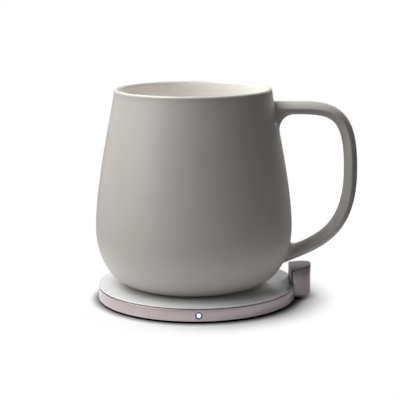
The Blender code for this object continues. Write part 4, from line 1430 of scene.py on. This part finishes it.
@dataclass
class Warmer:
    """The outside of the warmer: pale plate, metal ring and the light in its front.

    Attributes:
        radius: The ring's outer radius.
        ring_bottom: The height of the ring's lower edge.
        ring_top: The height of its upper edge.
        plate_top: The height of the plate's upper face.
        plate_undercut: How deep the step under the plate's edge is.
        light_fit: The gap round the lens and round the bezel.
        dome_side: Where the lens's dome is led at its side, as shares of its radius and its rise.
        dome_lead: Where it is led at its top, as a share of the radius.
    """

    radius: float
    ring_bottom: float
    ring_top: float
    plate_top: float
    plate_thickness: float = 0.0008
    ring_wall: float = 0.0015
    ring_edge: float = 0.00015
    plate_bevel: float = 0.00015
    plate_undercut: float = 0.0004
    bevel_steps: int = 5
    pocket_clearance: float = 0.0004
    light_fit: float = 0.0002
    lens_dome: float = 0.0002
    dome_side: Point = (0.9, 0.6)
    dome_lead: float = 0.4
    dome_steps: int = 8
    bezel_edge: float = 0.0001

    @classmethod
    def from_frame(cls) -> "Warmer":
        """Returns the warmer in its place in the frame."""
        low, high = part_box("outer_ring")
        return cls(
            radius=(high.y - low.y) / 2,
            ring_bottom=low.z,
            ring_top=high.z,
            plate_top=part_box("top_plate")[1].z,
        )

    def outward(self, name: str, profile: Sequence[Point], finishes: Sequence[Material]) -> Piece:
        """Turns a profile round the line that runs out of the warmer's front through the light.

        Args:
            name: The piece's name.
            profile: Radii from that line and distances from the warmer's axis.
            finishes: The piece's materials.

        Returns:
            The piece.
        """
        piece = turned(name, profile, finishes, steps=FINE_STEPS)
        lift = Matrix.Translation((0, 0, middle_height("led_lens")))
        piece.data.transform(lift @ Matrix.Rotation(math.pi / 2, 4, "X"))
        return piece

    def make_ring(self, metal: Material, post: Post) -> None:
        """Makes the metal ring, open for the post and bored for the light.

        Args:
            metal: The ring's finish.
            post: The post that it makes room for.
        """
        inner = self.radius - self.ring_wall
        corners = (
            (inner, self.ring_bottom),
            (self.radius, self.ring_bottom),
            (self.radius, self.ring_top),
            (inner, self.ring_top),
        )
        profile = rounded([(*corner, self.ring_edge) for corner in corners])
        ring = turned("warmer_metal_ring", profile, (metal,), steps=2 * ROUND_STEPS)
        carved(ring, post.pocket(self.pocket_clearance, 0.0, self.ring_top + CUT_OVERRUN))
        hole = half_height("led_bezel") + self.light_fit
        start = inner - CUT_OVERRUN
        end = self.radius + CUT_OVERRUN
        bore = [(0.0, start), (hole, start), (hole, end), (0.0, end)]
        carved(ring, self.outward("light_bore", bore, ()))
        seated(ring, Body.WARMER, Slot.ANODISED, "outer_ring")

    def make_plate(self, paint: Material, post: Post) -> None:
        """Makes the plate that the mug stands on.

        Args:
            paint: The plate's finish.
            post: The post that it makes room for.
        """
        bevel = self.plate_bevel
        undercut = self.plate_undercut
        bottom = self.plate_top - self.plate_thickness
        profile = [
            (0.0, bottom),
            (self.radius - undercut, bottom),
            (self.radius - undercut, bottom + undercut),
            (self.radius, bottom + undercut),
        ]
        profile += arc(
            (self.radius, self.plate_top - bevel),
            (self.radius, self.plate_top),
            (self.radius - bevel, self.plate_top),
            self.bevel_steps,
        )
        profile.append((0.0, self.plate_top))
        plate = turned("warmer_pale_plate", profile, (paint,))
        carved(plate, post.pocket(self.pocket_clearance, self.ring_top, self.plate_top + CUT_OVERRUN))
        seated(plate, Body.WARMER, Slot.PLATE, "top_plate")

    def make_light(self) -> None:
        """Makes the glowing lens and the dark bezel round it."""
        low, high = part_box("led_lens")
        radius = half_height("led_lens")
        front = -low.y
        glow = LitLens(
            "glowing_lens",
            (0.66, 0.74, 1.0),
            0.15,
            radius=radius,
            middle=(0.0, low.y, middle_height("led_lens")),
        ).make()
        dome_base = front - self.lens_dome
        side_share, rise_share = self.dome_side
        profile = [(0.0, -high.y), (radius, -high.y)]
        profile += curve(
            (radius, dome_base),
            (radius * side_share, dome_base + self.lens_dome * rise_share),
            (radius * self.dome_lead, front),
            (0.0, front),
            self.dome_steps,
        )
        seated(self.outward("glowing_lens", profile, (glow,)), Body.WARMER, Slot.LENS, "led_lens")
        back = -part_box("led_bezel")[1].y
        outer = half_height("led_bezel")
        inner = radius + self.light_fit
        bezel_profile = rounded((
            (inner, back, 0.0),
            (outer, back, 0.0),
            (outer, front, self.bezel_edge),
            (inner, front, self.bezel_edge),
        ))
        dark = Finish("dark_bezel", (0.10, 0.10, 0.13), 0.35).make()
        bezel = self.outward("dark_bezel", bezel_profile, (dark,))
        seated(bezel, Body.WARMER, Slot.RUBBER, "led_bezel")

    def make(self, post: Post) -> None:
        """Makes and dresses the warmer round its post.

        Args:
            post: The post that it makes room for.
        """
        paint = Finish(
            "pale_satin_plate",
            (0.62, 0.62, 0.615),
            0.08,
            drift_share=0.01,
            drift_size=0.02,
            gloss_spread=0.02,
            grain_size=0.0008,
            grain_depth=0.000002,
            gloss=0.7,
        ).make()
        self.make_ring(anodised_metal("anodised_ring", 0.0), post)
        self.make_plate(paint, post)
        self.make_light()


@dataclass(frozen=True)
class CarriedNodes:
    """Nodes of the frame whose shape stays, with the finish that they get."""

    finish: Finish
    names: tuple[str, ...]

    def dress(self) -> None:
        """Gives each node its finish."""
        material = self.finish.make()
        for name in self.names:
            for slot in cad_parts[name].material_slots:
                slot.material = material
            log.info("%s: finished as %s", name, self.finish.name)


def numbered(name: str, count: int) -> tuple[str, ...]:
    """Returns the names of a row of nodes that share a name and count up from 1."""
    return tuple(f"{name}_{number}" for number in range(1, count + 1))


@dataclass(frozen=True)
class Innards:
    """Everything inside the warmer and under the mug, which keeps its shape from the frame."""

    groups: tuple[CarriedNodes, ...] = (
        CarriedNodes(Finish("dark_tray_moulding", (0.045, 0.045, 0.05), 0.55), ("base_tray",)),
        CarriedNodes(
            Finish("black_foot_rubber", (0.018, 0.018, 0.019), 0.85, grain_depth=0.00003),
            ("rubber_foot",),
        ),
        CarriedNodes(Finish("grey_cover_moulding", (0.26, 0.25, 0.25), 0.5), ("mug_base_cover",)),
        CarriedNodes(Finish("pale_seal_silicone", (0.42, 0.42, 0.43), 0.6), ("base_seal",)),
        CarriedNodes(
            Finish("pressed_felt", (0.74, 0.72, 0.67), 0.95, drift_size=0.003, grain_depth=0.00008),
            ("heat_shield_pad",),
        ),
        CarriedNodes(
            TurnedMetal("turned_steel", (0.56, 0.56, 0.57), 0.32, metallic=1.0),
            (*numbered("tray_screw", 4), "heating_plate"),
        ),
        CarriedNodes(
            Finish("enamelled_copper", (0.72, 0.31, 0.12), 0.28, metallic=1.0, drift_size=0.002),
            ("transmitter_coil",),
        ),
        CarriedNodes(Finish("sintered_ferrite", (0.09, 0.09, 0.10), 0.6), ("ferrite_disc",)),
        CarriedNodes(
            CircuitBoard("green_circuit_board", (0.02, 0.13, 0.05), 0.4), ("main_board", "post_board")
        ),
        CarriedNodes(
            Finish("moulded_chip_resin", (0.03, 0.03, 0.032), 0.55),
            ("controller_chip", "driver_chip", "filter_inductor", "thermistor"),
        ),
        CarriedNodes(
            Finish("capacitor_ceramic", (0.42, 0.30, 0.18), 0.5), numbered("resonance_capacitor", 4)
        ),
        CarriedNodes(Finish("diode_resin", (0.80, 0.82, 0.70), 0.3), ("status_led",)),
    )

    def make(self) -> None:
        """Dresses every group of nodes."""
        for group in self.groups:
            group.dress()


def aimed(thing: bpy.types.Object, place: Place, ray: Vector, roll: float = 0.0) -> None:
    """Adds a camera or a light to the scene, in its place.

    Args:
        thing: The camera or the light.
        place: Where it stands.
        ray: The way that it looks.
        roll: How far it is rolled round that way.
    """
    bpy.context.scene.collection.objects.link(thing)
    turn = ray.to_track_quat("-Z", "Y").to_matrix().to_4x4()
    thing.matrix_world = Matrix.Translation(place) @ turn @ Matrix.Rotation(roll, 4, "Z")


@dataclass(frozen=True)
class SoftLight:
    """A plain white panel of light, which the camera doesn't see.

    Attributes:
        name: Its name.
        place: Where it stands.
        size: Its width and height.
        power: Its power in watts.
        mirrored: Whether glossy surfaces mirror it.
        aim: What it points at.
    """

    name: str
    place: Place
    size: Point
    power: float
    mirrored: bool = True
    aim: Place = (0.0, 0.0, 0.06)

    def hang(self) -> None:
        """Adds the light to the scene."""
        data = bpy.data.lights.new(self.name, "AREA")
        data.shape = "RECTANGLE"
        data.size, data.size_y = self.size
        data.energy = self.power
        light = bpy.data.objects.new(self.name, data)
        aimed(light, self.place, Vector(self.aim) - Vector(self.place))
        light.visible_camera = False
        light.visible_glossy = self.mirrored


@dataclass
class Studio:
    """Pale floor, soft light mostly from the left and above, and the photograph's camera.

    Attributes:
        camera_place: Where the camera stands.
        camera_bearing: The way that it looks in plan, from +X.
        camera_dip: How far it looks down.
        camera_roll: How far it is rolled.
        lens: Its focal length in millimetres.
        floor_half: Half the floor's side.
        floor_colour: The floor's colour.
        floor_fade: How far from the middle the floor starts to fade into the background, and
            where it has faded into it.
        crevice_reach: How near the object the floor lies in its close shadow.
        crevice_power: How fast that shadow deepens.
        bounce_colour: The floor's colour for the light that it throws back on the object.
        bounce_fade: How far from the middle that light starts to fade, and where it has faded out.
        fill: The strength of the room's light on the object.
        mirrored: The strength of the room where a glossy surface mirrors it.
        lights: The panels at the left, over the object, behind it at the right, in front at the
            right and low at the left. The one behind draws the soft strip along the right edges.
    """

    camera_place: Place = (-0.00951, -0.62601, 0.17039)
    camera_bearing: float = math.radians(88.97)
    camera_dip: float = math.radians(10.887)
    camera_roll: float = math.radians(-0.305)
    lens: float = 113.75
    floor_half: float = 3.0
    floor_colour: Colour = (0.66, 0.66, 0.66)
    floor_fade: Point = (0.0515, 0.073)
    crevice_reach: float = 0.0055
    crevice_power: float = 2.5
    bounce_colour: Colour = (0.8, 0.8, 0.8)
    bounce_fade: Point = (0.06, 0.17)
    fill: float = 0.0
    mirrored: float = 0.36
    lights: tuple[SoftLight, ...] = (
        SoftLight("side_light", (-0.48, -0.27, 0.64), (0.6, 0.6), 3.1),
        SoftLight("over_light", (-0.40, 0.10, 0.72), (0.6, 0.6), 7.7),
        SoftLight("edge_light", (0.38, 0.70, 0.30), (0.3, 0.6), 7.5, mirrored=False),
        SoftLight("front_light", (0.60, -0.60, 0.30), (0.6, 0.5), 0.96, mirrored=False),
        SoftLight("low_light", (-0.72, -0.30, 0.30), (0.6, 0.5), 2.2),
    )

    def make_camera(self) -> None:
        """Sets up the camera at the photograph's angle."""
        data = bpy.data.cameras.new("photo_camera")
        data.lens = self.lens
        camera = bpy.data.objects.new("photo_camera", data)
        level = math.cos(self.camera_dip)
        forward = (
            level * math.cos(self.camera_bearing),
            level * math.sin(self.camera_bearing),
            -math.sin(self.camera_dip),
        )
        aimed(camera, self.camera_place, Vector(forward), self.camera_roll)
        bpy.context.scene.camera = camera

    def make_world(self) -> None:
        """Sets up the room: white where it is seen, and dim where the object mirrors it."""
        world = bpy.data.worlds.new("room")
        world.use_nodes = True
        bpy.context.scene.world = world
        sheet = NodeSheet(world.node_tree)
        glossy = sheet.add("LightPath").outputs["Is Glossy Ray"]
        dim = sheet.tree.nodes["Background"]
        sheet.feed(dim.inputs["Color"], WHITE)
        sheet.feed(dim.inputs["Strength"], sheet.ranged(glossy, FULL_RANGE, (self.fill, self.mirrored)))
        white = sheet.add("Background", {"Color": WHITE, "Strength": 1.0})
        room = sheet.mixed(sheet.seen(), dim.outputs[0], white.outputs[0])
        sheet.feed(sheet.tree.nodes["World Output"].inputs["Surface"], room)

    def shadowed(self, sheet: ShaderSheet) -> Socket:
        """Darkens the floor in the narrow gap under the object's edge.

        Args:
            sheet: The floor's sheet.

        Returns:
            The floor's colour.
        """
        open_share = sheet.add("AmbientOcclusion", {"Distance": self.crevice_reach}).outputs["AO"]
        deepened = sheet.combined("POWER", open_share, self.crevice_power)
        return sheet.blended(deepened, BLACK, self.floor_colour)

    def make_floor(self) -> None:
        """Lays the floor, white but for the object's shadow, and clear from below."""
        sheet = ShaderSheet("pale_floor")
        sheet.tree.nodes.remove(sheet.shader)
        reach = sheet.add("VectorMath", {0: sheet.spot}, operation="LENGTH").outputs["Value"]
        soft = {"interpolation_type": "SMOOTHSTEP"}
        bounce_faded = sheet.ranged(reach, self.bounce_fade, **soft)
        thrown = sheet.mixed(bounce_faded, sheet.diffuse(self.bounce_colour), sheet.diffuse(BLACK))
        floor_faded = sheet.ranged(reach, self.floor_fade, **soft)
        white = sheet.add("Emission").outputs[0]
        shown = sheet.mixed(floor_faded, sheet.diffuse(self.shadowed(sheet)), white)
        upper_side = sheet.mixed(sheet.seen(), thrown, shown)
        from_below = sheet.add("NewGeometry").outputs["Backfacing"]
        clear = sheet.add("BsdfTransparent").outputs[0]
        surface = sheet.mixed(from_below, upper_side, clear)
        sheet.feed(sheet.tree.nodes["Material Output"].inputs["Surface"], surface)
        shape = bmesh.new()
        sides = ((-1, -1), (1, -1), (1, 1), (-1, 1))
        half = self.floor_half
        shape.faces.new([shape.verts.new((x * half, y * half, 0.0)) for x, y in sides])
        mesh_piece("floor", shape, (sheet.material,))

    def make(self) -> None:
        """Sets up the floor, the light and the camera."""
        bpy.context.scene.view_settings.view_transform = "Standard"
        self.make_camera()
        self.make_world()
        self.make_floor()
        for light in self.lights:
            light.hang()


def main() -> None:
    """Builds and dresses every sub-assembly in order, then the studio."""
    logging.basicConfig(level=logging.INFO, format="%(message)s")
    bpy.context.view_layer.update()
    CeramicMug.from_frame().make()
    post = Post.from_frame()
    Warmer.from_frame().make(post)
    post.make()
    Innards().make()
    Studio().make()


if __name__ == "__main__":
    main()
